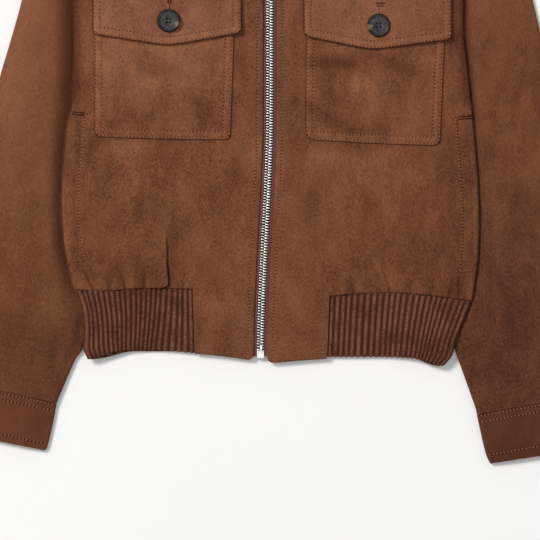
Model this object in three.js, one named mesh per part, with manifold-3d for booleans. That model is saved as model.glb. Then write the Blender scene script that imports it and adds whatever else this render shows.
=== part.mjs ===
// A zipped suede jacket laid flat on its back, front up, with its sleeves drawn down beside the body.
// Millimetres. +X is the viewer's right, +Y points from the hem to the collar, +Z is up from the surface.
// "Left" and "right" are the viewer's. Heights along the jacket are measured up from the hem line.
import * as THREE from 'three';
import { mergeVertices } from 'three/addons/utils/BufferGeometryUtils.js';
import Module from 'manifold-3d';

// Driving sizes
const WALL = 2.4;             // suede with its lining
const POCKET_WALL = 1.8;      // patch pockets and flaps
const FALL_WALL = 2.0;        // turned-down leaf of the collar
const SEAM_GAP = 0.3;         // between pieces sewn edge to edge
const LAYER_GAP = 0.5;        // between pieces that lie on each other
const PRESSED = 0.8;          // air between two walls where the cloth is pressed
const LOFT = 3.2;             // air between two walls where the cloth stands fullest
const CENTRE_ACROSS = -2.0;   // middle of the whole outline, measured from the zip's top
const CENTRE_UP = 265;        // middle of the whole outline, measured from the hem line

const HALF_NECK = 75;         // from the centre to the side of the neck
const NECK_SIDE_UP = 611;     // height of the side of the neck
const BACK_NECK_UP = 600;     // lowest point of the back neckline
const HALF_SHOULDER = 226;    // from the centre to the shoulder point
const SHOULDER_UP = 572;      // height of the shoulder point
const STAND = 25;             // height of the collar's stand

const ZIP_SLIT = 8;           // from the zip's centre to each suede edge
const CHAIN_WIDTH = 7.2;
const CHAIN_HEIGHT = 2.8;
const TAPE_HALF = 15;         // from the zip's centre to the outer edge of the tape
const TAPE_WALL = 0.8;
const ZIP_TOP_UP = 539;

// Side and armhole edge of the body, from the rib seam to the shoulder point
const bodyEdge = [
  { up: 60, left: -200, right: 211.5 },
  { up: 80, left: -206, right: 214.4 },
  { up: 100, left: -212, right: 217.2 },
  { up: 120, left: -215.6, right: 218.5 },
  { up: 150, left: -217.4, right: 219.2 },
  { up: 190, left: -216.2, right: 217.6 },
  { up: 230, left: -211.5, right: 214.4 },
  { up: 260, left: -208, right: 211.7 },
  { up: 310, left: -205.5, right: 206 },
  { up: 345, left: -205.2, right: 202.4 },
  { up: 380, left: -205.8, right: 202.7 },
  { up: 415, left: -205, right: 203 },
  { up: 445, left: -201.5, right: 201 },
  { up: 475, left: -199.5, right: 199.5 },
  { up: 510, left: -202, right: 202 },
  { up: 542, left: -210, right: 210 },
  { up: SHOULDER_UP, left: -HALF_SHOULDER, right: HALF_SHOULDER },
];

// Front neckline, from the zip to the side of the neck
const frontNeck = [
  { across: 8, up: 541 },
  { across: 25, up: 548 },
  { across: 45, up: 565 },
  { across: 62, up: 588 },
  { across: HALF_NECK, up: NECK_SIDE_UP },
];

// Knitted rib in front: its seam and its hem, from the suede tab (0) to the side (1)
const ribFront = [
  { share: 0, leftSeam: 74.5, leftHem: 7.5, rightSeam: 67, rightHem: 3.5 },
  { share: 0.25, leftSeam: 75, leftHem: 10.6, rightSeam: 70, rightHem: 3.5 },
  { share: 0.5, leftSeam: 75, leftHem: 11, rightSeam: 70.4, rightHem: 3.3 },
  { share: 0.75, leftSeam: 72.5, leftHem: 9, rightSeam: 67, rightHem: 1 },
  { share: 1, leftSeam: 74, leftHem: 1, rightSeam: 62.5, rightHem: -6 },
];
// The rib's two side folds, from its seam (0) to its hem (1)
const ribSide = [
  { share: 0, left: -203.4, right: 211 },
  { share: 0.3, left: -196.7, right: 203 },
  { share: 0.6, left: -195, right: 195 },
  { share: 0.85, left: -195.6, right: 190.5 },
  { share: 1, left: -191, right: 182 },
];
const RIB_TAB = { left: -81, right: 62.6 };   // where the rib meets the suede tab beside the zip
const RIBS_A_SIDE = 20;
const RIB_RISE = 1.2;
const RIB_FLAT = [0, 0.28, 0.72];             // valley, and the two shoulders of one rib
const TAB_HEM = {
  left: [{ across: -81, up: 6.9 }, { across: -48, up: 3.8 }, { across: -23, up: 0.5 }, { across: -17, up: 3 }],
  right: [{ across: -1, up: -1 }, { across: 5.5, up: -2.8 }, { across: 27, up: -1 }, { across: 62.6, up: 1.5 }],
};

// Sleeves, a row for each station from the shoulder to the cuff seam: inner and outer fold
const sleeveRows = {
  left: [
    { inAcross: -189, inUp: 556, outAcross: -224, outUp: 567 },
    { inAcross: -184, inUp: 530, outAcross: -238.5, outUp: 543 },
    { inAcross: -178, inUp: 498, outAcross: -245.5, outUp: 504 },
    { inAcross: -171, inUp: 458, outAcross: -250.5, outUp: 458 },
    { inAcross: -164, inUp: 418, outAcross: -255, outUp: 415 },
    { inAcross: -157, inUp: 378, outAcross: -260.5, outUp: 378 },
    { inAcross: -151, inUp: 336, outAcross: -272, outUp: 336 },
    { inAcross: -149, inUp: 288, outAcross: -285.5, outUp: 290 },
    { inAcross: -152, inUp: 230, outAcross: -301, outUp: 230 },
    { inAcross: -160, inUp: 168, outAcross: -313, outUp: 168 },
    { inAcross: -172, inUp: 115, outAcross: -322, outUp: 115 },
    { inAcross: -184, inUp: 66, outAcross: -328.5, outUp: 66 },
    { inAcross: -195.8, inUp: 14.7, outAcross: -334, outUp: 22 },
    { inAcross: -204.5, inUp: 0, outAcross: -336, outUp: 8 },
    { inAcross: -220.6, inUp: -37, outAcross: -338.5, outUp: -12 },
    { inAcross: -223.7, inUp: -45, outAcross: -339.2, outUp: -19 },
  ],
  right: [
    { inAcross: 189, inUp: 556, outAcross: 224, outUp: 567 },
    { inAcross: 184, inUp: 530, outAcross: 240, outUp: 545 },
    { inAcross: 178, inUp: 498, outAcross: 249, outUp: 504 },
    { inAcross: 171, inUp: 458, outAcross: 258, outUp: 458 },
    { inAcross: 164, inUp: 418, outAcross: 267, outUp: 415 },
    { inAcross: 157, inUp: 378, outAcross: 275.5, outUp: 378 },
    { inAcross: 151, inUp: 336, outAcross: 285.5, outUp: 337 },
    { inAcross: 149, inUp: 288, outAcross: 297, outUp: 290 },
    { inAcross: 152, inUp: 230, outAcross: 311, outUp: 230 },
    { inAcross: 160, inUp: 168, outAcross: 321, outUp: 168 },
    { inAcross: 171, inUp: 115, outAcross: 328, outUp: 115 },
    { inAcross: 181, inUp: 66, outAcross: 333, outUp: 66 },
    { inAcross: 193.5, inUp: 13, outAcross: 337, outUp: 16 },
    { inAcross: 202, inUp: -12, outAcross: 338, outUp: -4 },
    { inAcross: 214.8, inUp: -48, outAcross: 335.5, outUp: -28 },
    { inAcross: 216.9, inUp: -56.7, outAcross: 334.5, outUp: -36 },
  ],
};
const cuffRows = {
  left: [
    { inAcross: -223.9, inUp: -45.4, outAcross: -339.3, outUp: -19.4 },
    { inAcross: -228.4, inUp: -69, outAcross: -345, outUp: -45 },
    { inAcross: -233.7, inUp: -91, outAcross: -349.6, outUp: -68 },
    { inAcross: -236.5, inUp: -94.7, outAcross: -349.2, outUp: -72 },
  ],
  right: [
    { inAcross: 217, inUp: -57.1, outAcross: 334.6, outUp: -36.4 },
    { inAcross: 221.5, inUp: -78, outAcross: 340.5, outUp: -60 },
    { inAcross: 226.4, inUp: -98, outAcross: 345.6, outUp: -86 },
    { inAcross: 231, inUp: -108.6, outAcross: 345, outUp: -91 },
  ],
};

// Largest folds of the fronts: soft ridges (rise > 0) and troughs (rise < 0), each along a line
const frontFolds = [
  { across: -192, low: 74, high: 100, lean: -4, width: 7, rise: 0.9 },
  { across: -174, low: 74, high: 112, lean: -3, width: 7, rise: 1.1 },
  { across: -157, low: 73, high: 104, lean: -8, width: 6, rise: 1.2 },
  { across: -140, low: 74, high: 116, lean: -6, width: 7, rise: 1.2 },
  { across: -123, low: 75, high: 122, lean: 0, width: 7, rise: 1.3 },
  { across: -107.5, low: 75, high: 136, lean: 0, width: 5, rise: -1.8 },
  { across: -94, low: 75, high: 118, lean: 4, width: 7, rise: 0.8 },
  { across: 74, low: 69, high: 98, lean: 2, width: 7, rise: 0.9 },
  { across: 90, low: 70, high: 104, lean: -4, width: 7, rise: 0.9 },
  { across: 107, low: 70, high: 112, lean: -8, width: 9, rise: 1.7 },
  { across: 124, low: 70, high: 112, lean: -14, width: 5, rise: -1.6 },
  { across: 141, low: 68, high: 104, lean: 3, width: 8, rise: 0.9 },
  { across: 160, low: 66, high: 98, lean: 4, width: 7, rise: 0.9 },
  { across: 178, low: 65, high: 100, lean: 5, width: 7, rise: 0.9 },
  { across: 195, low: 64, high: 92, lean: 5, width: 6, rise: 0.9 },
];

// Patch pockets: corners of the patch and of its flap, and the middle of its button
const pockets = {
  left: {
    patch: { top: 376, topIn: -36.4, topOut: -184.6, bottomIn: -41.4, bottomOut: -183.8, upIn: 231, upOut: 234, corner: 6 },
    flap: { top: 394, inner: -29.6, outer: -186, tip: -108, upIn: 344, upTip: 330, upOut: 342.5, corner: 5 },
    button: { across: -106, up: 355.4 },
  },
  right: {
    patch: { top: 374, topIn: 38, topOut: 184.6, bottomIn: 36.8, bottomOut: 178.4, upIn: 231.5, upOut: 224.5, corner: 8 },
    flap: { top: 391, inner: 35, outer: 190.5, tip: 108.5, upIn: 341, upTip: 325.6, upOut: 336.5, corner: 6 },
    button: { across: 113.9, up: 350.5 },
  },
};
const welts = {
  left: { low: 103, high: 259 },
  right: { low: 92, high: 254.5 },
};
const WELT_NEAR = 3.2;        // from the side fold to the welt's outer edge
const WELT_FAR = 16;          // and to its inner edge
const WELT_WALL = 1.3;

const BUTTON = { radius: 12.2, thick: 3.4, rim: 2.2, dish: 0.9, hole: 1.15, holeFrom: 2.5 };

// Sides of a wall that is folded or seamed at its edge: how far in its outer and inner points stand
const edgeSteps = [
  { outer: 6.5, inner: 6.8 },
  { outer: 2.6, inner: 4.2 },
  { outer: 0.7, inner: 2.8 },
  { outer: 0, inner: WALL },
];

const clamp = THREE.MathUtils.clamp;
const mix = THREE.MathUtils.lerp;
const ease = (from, to, x) => THREE.MathUtils.smoothstep(x, from, to);

// Value of a table's column where another of its columns has the value at, on a smooth line through the rows
function along(rows, by, column, at) {
  const last = rows.length - 1;
  const way = Math.sign(rows[last][by] - rows[0][by]);
  let i = 0;
  while (i < last - 1 && (at - rows[i + 1][by]) * way > 0) i += 1;
  const slope = (k) => {
    const before = rows[Math.max(k - 1, 0)];
    const after = rows[Math.min(k + 1, last)];
    return (after[column] - before[column]) / (after[by] - before[by]);
  };
  const step = rows[i + 1][by] - rows[i][by];
  const t = clamp((at - rows[i][by]) / step, 0, 1);
  const [p, q] = [rows[i][column], rows[i + 1][column]];
  const [tp, tq] = [slope(i) * step, slope(i + 1) * step];
  return p + t * tp + t * t * (3 * (q - p) - 2 * tp - tq) + t * t * t * (2 * (p - q) + tp + tq);
}

// Closed wall between two grids of points. Cells that present leaves out are holes in it.
function wall(outer, inner, { around = false, present = () => true } = {}) {
  const rows = outer.length;
  const columns = outer[0].length;
  const cellColumns = around ? columns : columns - 1;
  const has = (i, j) => {
    if (i < 0 || i >= rows - 1) return false;
    if (around) return present(i, (j + columns) % columns);
    return j >= 0 && j < cellColumns && present(i, j);
  };
  const points = [];
  const quad = (a, b, c, d) => points.push(a, b, c, a, c, d);
  for (let i = 0; i < rows - 1; i += 1) {
    for (let j = 0; j < cellColumns; j += 1) {
      if (!has(i, j)) continue;
      const k = (j + 1) % columns;
      quad(outer[i][j], outer[i][k], outer[i + 1][k], outer[i + 1][j]);
      quad(inner[i][k], inner[i][j], inner[i + 1][j], inner[i + 1][k]);
      if (!has(i - 1, j)) quad(inner[i][j], inner[i][k], outer[i][k], outer[i][j]);
      if (!has(i + 1, j)) quad(inner[i + 1][k], inner[i + 1][j], outer[i + 1][j], outer[i + 1][k]);
      if (!has(i, j - 1)) quad(inner[i + 1][j], inner[i][j], outer[i][j], outer[i + 1][j]);
      if (!has(i, j + 1)) quad(inner[i][k], inner[i + 1][k], outer[i + 1][k], outer[i][k]);
    }
  }
  return facingOut(points);
}

// Geometry of a closed set of triangles, turned round if its faces point inwards
function facingOut(points) {
  let volume = 0;
  const cross = new THREE.Vector3();
  for (let i = 0; i < points.length; i += 3) {
    volume += points[i].dot(cross.crossVectors(points[i + 1], points[i + 2]));
  }
  if (volume < 0) points.reverse();
  return new THREE.BufferGeometry().setFromPoints(points);
}

const at = (x, y, z) => new THREE.Vector3(x, y, z);
const grid = (rows, columns, point) =>
  Array.from({ length: rows }, (_, i) => Array.from({ length: columns }, (_, j) => point(i, j)));
const sideOf = (x) => (x < 0 ? 'left' : 'right');
const signOf = (side) => (side === 'left' ? -1 : 1);
const rounded = (d, radius) => (d >= radius ? 1 : Math.sqrt(Math.max(0, 1 - (1 - d / radius) ** 2)));

// The zip leans to the left below the pockets
const zipAcross = (up) => -10 * (1 - ease(0, 270, up));
const shoulderUp = (x) => mix(NECK_SIDE_UP, SHOULDER_UP, (Math.abs(x) - HALF_NECK) / (HALF_SHOULDER - HALF_NECK));

// Both necklines run straight between the columns of their panels, so what is sewn on can follow them
const neckColumns = 5;
function byColumns(curve, first, x) {
  const place = clamp((Math.abs(x) - first) / (HALF_NECK - first), 0, 1) * neckColumns;
  const column = Math.min(Math.floor(place), neckColumns - 1);
  const stop = (j) => curve(mix(first, HALF_NECK, j / neckColumns));
  return mix(stop(column), stop(column + 1), place - column);
}
const frontNeckUp = (x) => byColumns((a) => along(frontNeck, 'across', 'up', a), ZIP_SLIT, x);
const backNeckUp = (x) => byColumns((a) => mix(BACK_NECK_UP, NECK_SIDE_UP, (a / HALF_NECK) ** 2), 0, x);
const edgeAcross = (side, up) => along(bodyEdge, 'up', side, up);
function outlineAcross(side, up) {
  const { [`${side}Seam`]: seam, [`${side}Hem`]: hem } = ribFront[ribFront.length - 1];
  if (up > seam) return edgeAcross(side, Math.min(up, SHOULDER_UP));
  return along(ribSide, 'share', side, clamp((seam - up) / (seam - hem), 0, 1));
}

// Height of the body's underside: it lies on the sleeves at the sides, and on the collar's back leaf
const SLEEVE_PRESSED = 2 * WALL + PRESSED;
const LIFT = SLEEVE_PRESSED + LAYER_GAP;
const LIFT_RUN = 80;
const COLLAR_LIFT = FALL_WALL + LAYER_GAP;
function underside(x, up) {
  const sleeve = Math.abs(along(sleeveRows[sideOf(x)], 'inUp', 'inAcross', up));
  const overSleeve = LIFT * ease(sleeve - LIFT_RUN, sleeve - 7, Math.abs(x));
  const overLeaf = COLLAR_LIFT * ease(530, 573, up) * (1 - ease(128, 170, Math.abs(x)));
  return Math.max(overSleeve, overLeaf);
}

// Air between the back and the fronts: fullest along the zip and where the body blouses over the rib
function loft(x, up) {
  const side = sideOf(x);
  const nearZip = 1 - ease(56, 136, Math.abs(x - zipAcross(up)));
  const overRib = ease(64, 112, up);
  const inFromSide = ease(2, 50, Math.abs(edgeAcross(side, up)) - Math.abs(x));
  const belowShoulder = ease(2, 110, shoulderUp(x) - up);
  return PRESSED + (LOFT - PRESSED) * Math.max(nearZip, overRib * inFromSide * Math.max(belowShoulder, nearZip));
}
const halfHeight = (x, up) => WALL + loft(x, up) / 2;
const middle = (x, up) => underside(x, up) + halfHeight(x, up);

function frontFold(x, up) {
  let rise = 0;
  for (const f of frontFolds) {
    const share = (up - f.low) / (f.high - f.low);
    const centre = f.across + f.lean * share;
    const length = ease(-0.25, 0.05, share) * (1 - ease(0.25, 1, share));
    rise += f.rise * length * Math.exp(-(((x - centre) / f.width) ** 2));
  }
  return Math.max(rise, PRESSED / 2 - loft(x, up) + 0.1);
}

// Outer height of the fronts at any place on them
const HALF_SEAM = SEAM_GAP / 2;
function frontTop(x, up) {
  const fromSide = Math.abs(edgeAcross(sideOf(x), up)) - Math.abs(x);
  const half = halfHeight(x, up);
  const turned = rounded(Math.max(fromSide, 0), half) * rounded(Math.max(shoulderUp(x) - up, 0), half);
  return middle(x, up) + HALF_SEAM + (half - HALF_SEAM) * turned + frontFold(x, up) * turned;
}

// One point of a body wall: fromSide and fromTop say how far in it stands from its folded edges
function bodyPoint(x, up, fromSide, fromTop, { upper, outer }) {
  const half = halfHeight(x, up);
  const inset = outer ? 0 : WALL;
  const rim = outer ? half : Math.max(half - WALL, HALF_SEAM + 0.05);
  const turned = rounded(Math.max(fromSide - inset, 0), rim) * rounded(Math.max(fromTop - inset, 0), rim);
  const away = HALF_SEAM + (rim - HALF_SEAM) * turned + (upper ? frontFold(x, up) * turned : 0);
  return at(x, up, middle(x, up) + (upper ? away : -away));
}

const FAR = 1000;
const tabRows = 2;
const rowShares = [0, 0.02, 0.045, 0.08, 0.13, 0.2, 0.29, 0.38, 0.47, 0.56, 0.65, 0.74, 0.82, 0.885, 0.94, 1];
const bodyRows = rowShares.length - 1 + edgeSteps.length;
const outerColumns = 10;

// Height of row i between a column's lower and upper end: the last rows are close to the shoulder's fold
function rowUp(i, low, high, which, onShoulder) {
  const plainRows = rowShares.length - 1;
  const plainTop = high - mix(edgeSteps[0].outer, edgeSteps[0][which], onShoulder);
  if (i < plainRows) return mix(low, plainTop, rowShares[i]);
  const step = edgeSteps[i - plainRows];
  return high - mix(step.outer, step[which], onShoulder);
}
const rowTurns = (i, onShoulder) => i >= rowShares.length - 1 && onShoulder > 0.5;

// A panel's point in column j, row i. topX and x(up) place the column, fromSide is its distance from the side
function panelPoint(i, low, high, onShoulder, which, place, upper) {
  const up = rowUp(i, low, high, which, onShoulder);
  const { x, atSide } = place(up);
  const fromTop = rowTurns(i, onShoulder) ? high - up : FAR;
  const fromSide = atSide ? Math.abs(edgeAcross(sideOf(x), Math.min(up, SHOULDER_UP))) - Math.abs(x) : FAR;
  return bodyPoint(x, up, fromSide, fromTop, { upper, outer: which === 'outer' });
}
const beyondNeck = (topX) => ease(HALF_NECK + 1, HALF_NECK + 6, Math.abs(topX));

function frontPanel(side) {
  const sign = signOf(side);
  const zipEdge = (up) => zipAcross(up) + sign * ZIP_SLIT;
  const tabShare = (RIB_TAB[side] - zipEdge(40)) / (edgeAcross(side, 72) - zipEdge(40));
  const neckShare = (HALF_NECK - ZIP_SLIT) / (HALF_SHOULDER - ZIP_SLIT);
  const plain = neckColumns + outerColumns;
  const columns = plain + edgeSteps.length;
  const ribSeam = (x) => {
    const share = clamp((x - RIB_TAB[side]) / (ribSide[0][side] - RIB_TAB[side]), 0, 1);
    return along(ribFront, 'share', `${side}Seam`, share) + SEAM_GAP;
  };

  // Place across of a column at a height, for the wall's outer or inner points
  const across = (j, up, which) => {
    const edge = edgeAcross(side, Math.min(up, SHOULDER_UP));
    const reach = mix(edge, sign * HALF_SHOULDER, ease(380, 535, up));
    const guide = mix(zipEdge(up), reach, mix(tabShare, neckShare, ease(80, 535, up)));
    if (j <= neckColumns) return mix(zipEdge(up), guide, j / neckColumns);
    if (j >= plain) return edge - sign * edgeSteps[j - plain][which];
    return mix(guide, edge - sign * edgeSteps[0][which], (j - neckColumns) / outerColumns);
  };

  const make = (which) => {
    const tab = grid(tabRows, columns, (i, j) => {
      const flat = across(Math.min(j, neckColumns), 40, which);
      const up = mix(along(TAB_HEM[side], 'across', 'up', flat), ribSeam(RIB_TAB[side]), i / tabRows);
      return bodyPoint(across(Math.min(j, neckColumns), up, which), up, FAR, FAR, { upper: true, outer: which === 'outer' });
    });
    const body = grid(bodyRows, columns, (i, j) => {
      const topX = across(j, SHOULDER_UP, which);
      const high = j <= neckColumns ? frontNeckUp(topX) : shoulderUp(topX);
      const low = ribSeam(across(j, 72, which));
      const place = (up) => ({ x: across(j, up, which), atSide: j >= plain });
      return panelPoint(i, low, high, beyondNeck(topX), which, place, true);
    });
    return [...tab, ...body];
  };
  return wall(make('outer'), make('inner'), { present: (i, j) => i >= tabRows || j < neckColumns });
}

function backSeam(x) {
  const share = clamp((x - ribSide[0].left) / (ribSide[0].right - ribSide[0].left), 0, 1);
  return mix(mix(ribFront[4].leftSeam, 70, ease(0, 0.3, share)), ribFront[4].rightSeam, ease(0.5, 1, share)) + SEAM_GAP;
}

const backOuterColumns = 7;
function backPanel() {
  const plain = neckColumns + backOuterColumns;
  const half = plain + edgeSteps.length - 1;
  const across = (j, up, which) => {
    const k = j - half;
    const sign = Math.sign(k);
    const edge = Math.abs(edgeAcross(k < 0 ? 'left' : 'right', Math.min(up, SHOULDER_UP)));
    if (Math.abs(k) <= neckColumns) return (k / neckColumns) * HALF_NECK;
    if (Math.abs(k) >= plain) return sign * (edge - edgeSteps[Math.abs(k) - plain][which]);
    return sign * mix(HALF_NECK, edge - edgeSteps[0][which], (Math.abs(k) - neckColumns) / backOuterColumns);
  };
  const make = (which) => grid(bodyRows, 2 * half + 1, (i, j) => {
    const topX = across(j, SHOULDER_UP, which);
    const high = Math.abs(j - half) <= neckColumns ? backNeckUp(topX) : shoulderUp(topX);
    const low = backSeam(across(j, 72, which));
    const place = (up) => ({ x: across(j, up, which), atSide: Math.abs(j - half) >= plain });
    return panelPoint(i, low, high, beyondNeck(topX), which, place, false);
  });
  return wall(make('outer'), make('inner'));
}

// One strip of rib from the left suede tab round the back to the right one, ribbed where it shows
const ribRows = 3;
const ribBackColumns = 16;
function hemRib() {
  const stops = [];
  const front = (side) => {
    const list = [];
    for (let n = 0; n < RIBS_A_SIDE; n += 1) {
      RIB_FLAT.forEach((part, k) => list.push({ side, upper: true, share: (n + part) / RIBS_A_SIDE, rise: k ? RIB_RISE : 0 }));
    }
    edgeSteps.forEach(({ outer }, k) => list.push({ side, upper: true, share: 1, step: k, rise: outer > 3 ? RIB_RISE / 2 : 0 }));
    return list;
  };
  stops.push(...front('left'));
  edgeSteps.slice(0, -1).reverse().forEach((_, k) => stops.push({ side: 'left', upper: false, step: edgeSteps.length - 2 - k, rise: 0 }));
  for (let k = 1; k < ribBackColumns; k += 1) stops.push({ upper: false, back: k / ribBackColumns, rise: 0 });
  const right = front('right').reverse();
  edgeSteps.slice(0, -1).forEach((_, k) => stops.push({ side: 'right', upper: false, step: k, rise: 0 }));
  stops.push(...right);

  const make = (which) => grid(ribRows + 1, stops.length, (i, j) => {
    const stop = stops[j];
    const outer = which === 'outer';
    const down = i / ribRows;
    const sideEdge = (side) => along(ribSide, 'share', side, down);
    const inset = edgeSteps[0][which];
    let x;
    let seam;
    let hem;
    let fromSide = FAR;
    if (stop.back !== undefined) {
      x = mix(sideEdge('left') + inset, sideEdge('right') - inset, stop.back);
      seam = backSeam(x) - 2 * SEAM_GAP;
      const share = stop.back;
      hem = mix(mix(ribFront[4].leftHem, 9, ease(0, 0.12, share)), ribFront[4].rightHem, ease(0.88, 1, share));
    } else {
      const sign = signOf(stop.side);
      const edge = sideEdge(stop.side);
      if (stop.step !== undefined) {
        x = edge - sign * edgeSteps[stop.step][which];
        fromSide = edgeSteps[stop.step][which];
      } else {
        const tab = RIB_TAB[stop.side] + sign * (SEAM_GAP + 0.4 * (1 - down));
        x = mix(tab, edge - sign * inset, stop.share);
      }
      const share = stop.share ?? 1;
      seam = along(ribFront, 'share', `${stop.side}Seam`, share) - SEAM_GAP;
      hem = along(ribFront, 'share', `${stop.side}Hem`, share);
      if (!stop.upper) seam = Math.min(seam, backSeam(x) - 2 * SEAM_GAP);
    }
    const up = mix(seam, hem, down);
    const half = WALL + PRESSED / 2;
    const rim = outer ? half : half - WALL;
    const turned = rounded(Math.max(fromSide - (outer ? 0 : WALL), 0), rim);
    const rise = outer ? stop.rise * (1 - 0.6 * ease(0.9, 1, down)) : 0;
    const away = rim * turned + rise;
    const mid = underside(x, up) + half;
    return at(x, up, mid + (stop.upper ? away : -away));
  });
  return wall(make('outer'), make('inner'));
}

// A flattened tube through stations of inner and outer folds
const tubeShares = [0.12, 0.26, 0.4, 0.54, 0.68, 0.82];
function tube(rows, side, stations, fullness) {
  const sign = signOf(side);
  const across = [
    ...edgeSteps.slice().reverse().map((e) => ({ e, from: 'in' })),
    ...tubeShares.map((share) => ({ share })),
    ...edgeSteps.map((e) => ({ e, from: 'out' })),
  ];
  const ring = [...across.map((a) => ({ ...a, upper: true })), ...across.slice(1, -1).reverse().map((a) => ({ ...a, upper: false }))];
  const last = rows.length - 1;
  const numbered = rows.map((row, n) => ({ ...row, n }));
  const make = (which) => grid(stations, ring.length, (i, j) => {
    const n = (i / (stations - 1)) * last;
    const pick = (column) => along(numbered, 'n', column, n);
    const inner = at(pick('inAcross'), pick('inUp'), 0);
    const outer = at(pick('outAcross'), pick('outUp'), 0);
    const width = inner.distanceTo(outer);
    const stop = ring[j];
    let d = stop.share === undefined ? stop.e[which] : Math.min(stop.share, 1 - stop.share) * width;
    const share = stop.share ?? (stop.from === 'in' ? d / width : 1 - d / width);
    if (which === 'inner') d -= WALL;
    const place = inner.clone().lerp(outer, share);
    const half = WALL + (PRESSED + (LOFT - PRESSED) * fullness(place.x * sign, place.y, share * width, width)) / 2;
    const rim = which === 'outer' ? half : half - WALL;
    const away = rim * rounded(Math.max(d, 0), rim);
    return place.setZ(half + (stop.upper ? away : -away));
  });
  return wall(make('outer'), make('inner'), { around: true });
}

// The sleeve is pressed flat under the body and full beside it
function sleeve(side) {
  const fullness = (x, up, fromInner, width) => {
    const clear = ease(14, 50, x - Math.abs(outlineAcross(side, up)));
    const past = ease(0, 45, -up) * ease(2, 38, fromInner);
    return Math.max(clear, past) * ease(0, 30, width - fromInner);
  };
  return tube(sleeveRows[side], side, 15, fullness);
}
const cuff = (side) => tube(cuffRows[side], side, 4, (x, up, fromInner, width) =>
  0.6 * ease(4, 30, fromInner) * ease(0, 30, width - fromInner));

// A patch that lies on the front: left, right, lower and upper edge, and how far it stands off
function patch(columns, rows, plan, standOff, thick) {
  const make = (lift) => grid(rows + 1, columns + 1, (i, j) => {
    const { x, up } = plan(j / columns, i / rows);
    return at(x, up, frontTop(x, up) + standOff(x, up) + lift);
  });
  return wall(make(thick), make(0));
}
const cornerDrop = (d, radius) => (d >= radius ? 0 : radius - Math.sqrt(radius ** 2 - (radius - d) ** 2));
// Shares across a patch that has rounded lower corners, closer together at both ends
const cornerShare = (share) => share - 0.03 * Math.sin(4 * Math.PI * share) - 0.07 * Math.sin(2 * Math.PI * share);

function pocketPatch(side) {
  const p = pockets[side].patch;
  return patch(16, 8, (u, t) => {
    const share = cornerShare(u);
    const bottomWidth = Math.abs(p.bottomOut - p.bottomIn);
    const d = Math.min(share, 1 - share) * bottomWidth;
    const low = mix(p.upIn, p.upOut, share) + cornerDrop(d, p.corner);
    const up = mix(low, p.top, t);
    const rise = clamp((up - p.upIn) / (p.top - p.upIn), 0, 1);
    return { x: mix(mix(p.bottomIn, p.topIn, rise), mix(p.bottomOut, p.topOut, rise), share), up };
  }, () => LAYER_GAP, POCKET_WALL);
}

function pocketFlap(side) {
  const f = pockets[side].flap;
  const p = pockets[side].patch;
  const lower = [
    { across: Math.abs(f.inner), up: f.upIn },
    { across: Math.abs(f.tip), up: f.upTip },
    { across: Math.abs(f.outer), up: f.upOut },
  ];
  return patch(16, 5, (u, t) => {
    const share = cornerShare(u);
    const x = mix(f.inner, f.outer, share);
    const d = Math.min(share, 1 - share) * Math.abs(f.outer - f.inner);
    const toTip = Math.abs(x - f.tip);
    const half = Math.abs(x) < Math.abs(f.tip) ? 0 : 2;
    const reach = Math.abs(lower[half].across - lower[1].across);
    const low = mix(f.upTip, lower[half].up, Math.hypot(toTip, 8) / reach - 8 / reach) + cornerDrop(d, f.corner);
    return { x, up: mix(low, f.top, t) };
  }, (x, up) => LAYER_GAP + (POCKET_WALL + LAYER_GAP) * (1 - ease(p.top + 6, p.top + 18, up)), POCKET_WALL);
}

function welt(side) {
  const sign = signOf(side);
  const { low, high } = welts[side];
  return patch(4, 14, (u, t) => {
    const up = mix(low, high, t);
    return { x: edgeAcross(side, up) - sign * mix(WELT_NEAR, WELT_FAR, u), up };
  }, () => LAYER_GAP, WELT_WALL);
}

// Zip: two tapes under the suede edges, the closed chain between them, box, slider and pull
const ZIP_LOW_UP = 4;
const zipRows = 22;
const zipLevel = (up) => middle(zipAcross(up), up) + loft(zipAcross(up), up) / 2 - 0.4;   // top of the tape
function zipStrip(near, far, low, high, bottom, top) {
  const make = (z) => grid(zipRows + 1, 2, (i, j) => {
    const up = mix(low, high, i / zipRows);
    return at(zipAcross(up) + (j ? far : near), up, zipLevel(up) + z);
  });
  return wall(make(top), make(bottom));
}
const chainHalf = CHAIN_WIDTH / 2;
const tapeNear = chainHalf + SEAM_GAP;
const tape = (sign) => zipStrip(sign * tapeNear, sign * TAPE_HALF, ZIP_LOW_UP, ZIP_TOP_UP, -TAPE_WALL, 0);
const chainTop = (CHAIN_HEIGHT - TAPE_WALL) / 2;
const BOX = { width: 7.4, length: 8, low: 2 };
const SLIDER = { width: 10, core: 6.6, length: 15, plate: 1.5, low: 523.5 };
const BRIDGE = { width: 2.4, length: 8.4, rise: 3.6, hole: 5, holeRise: 2.2, bar: 1.15 };
const PULL = { width: 8, window: 3.6, windowLength: 5.2, length: 30, thick: 1.2, tilt: 1.5 };

const wasm = await Module();
wasm.setup();

function solidOf(geometry) {
  const plain = geometry.index ? geometry.toNonIndexed() : geometry.clone();
  plain.deleteAttribute('normal');
  plain.deleteAttribute('uv');
  const merged = mergeVertices(plain, 1e-3);
  return new wasm.Manifold(new wasm.Mesh({
    numProp: 3,
    vertProperties: merged.attributes.position.array,
    triVerts: new Uint32Array(merged.index.array),
  }));
}
function geometryOf(solid) {
  const mesh = solid.getMesh();
  const geometry = new THREE.BufferGeometry();
  geometry.setAttribute('position', new THREE.BufferAttribute(mesh.vertProperties, 3));
  geometry.setIndex(new THREE.BufferAttribute(mesh.triVerts, 1));
  return geometry.toNonIndexed();
}
const block = (width, length, height, x, y, z) => new THREE.BoxGeometry(width, length, height).translate(x, y, z);

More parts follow.
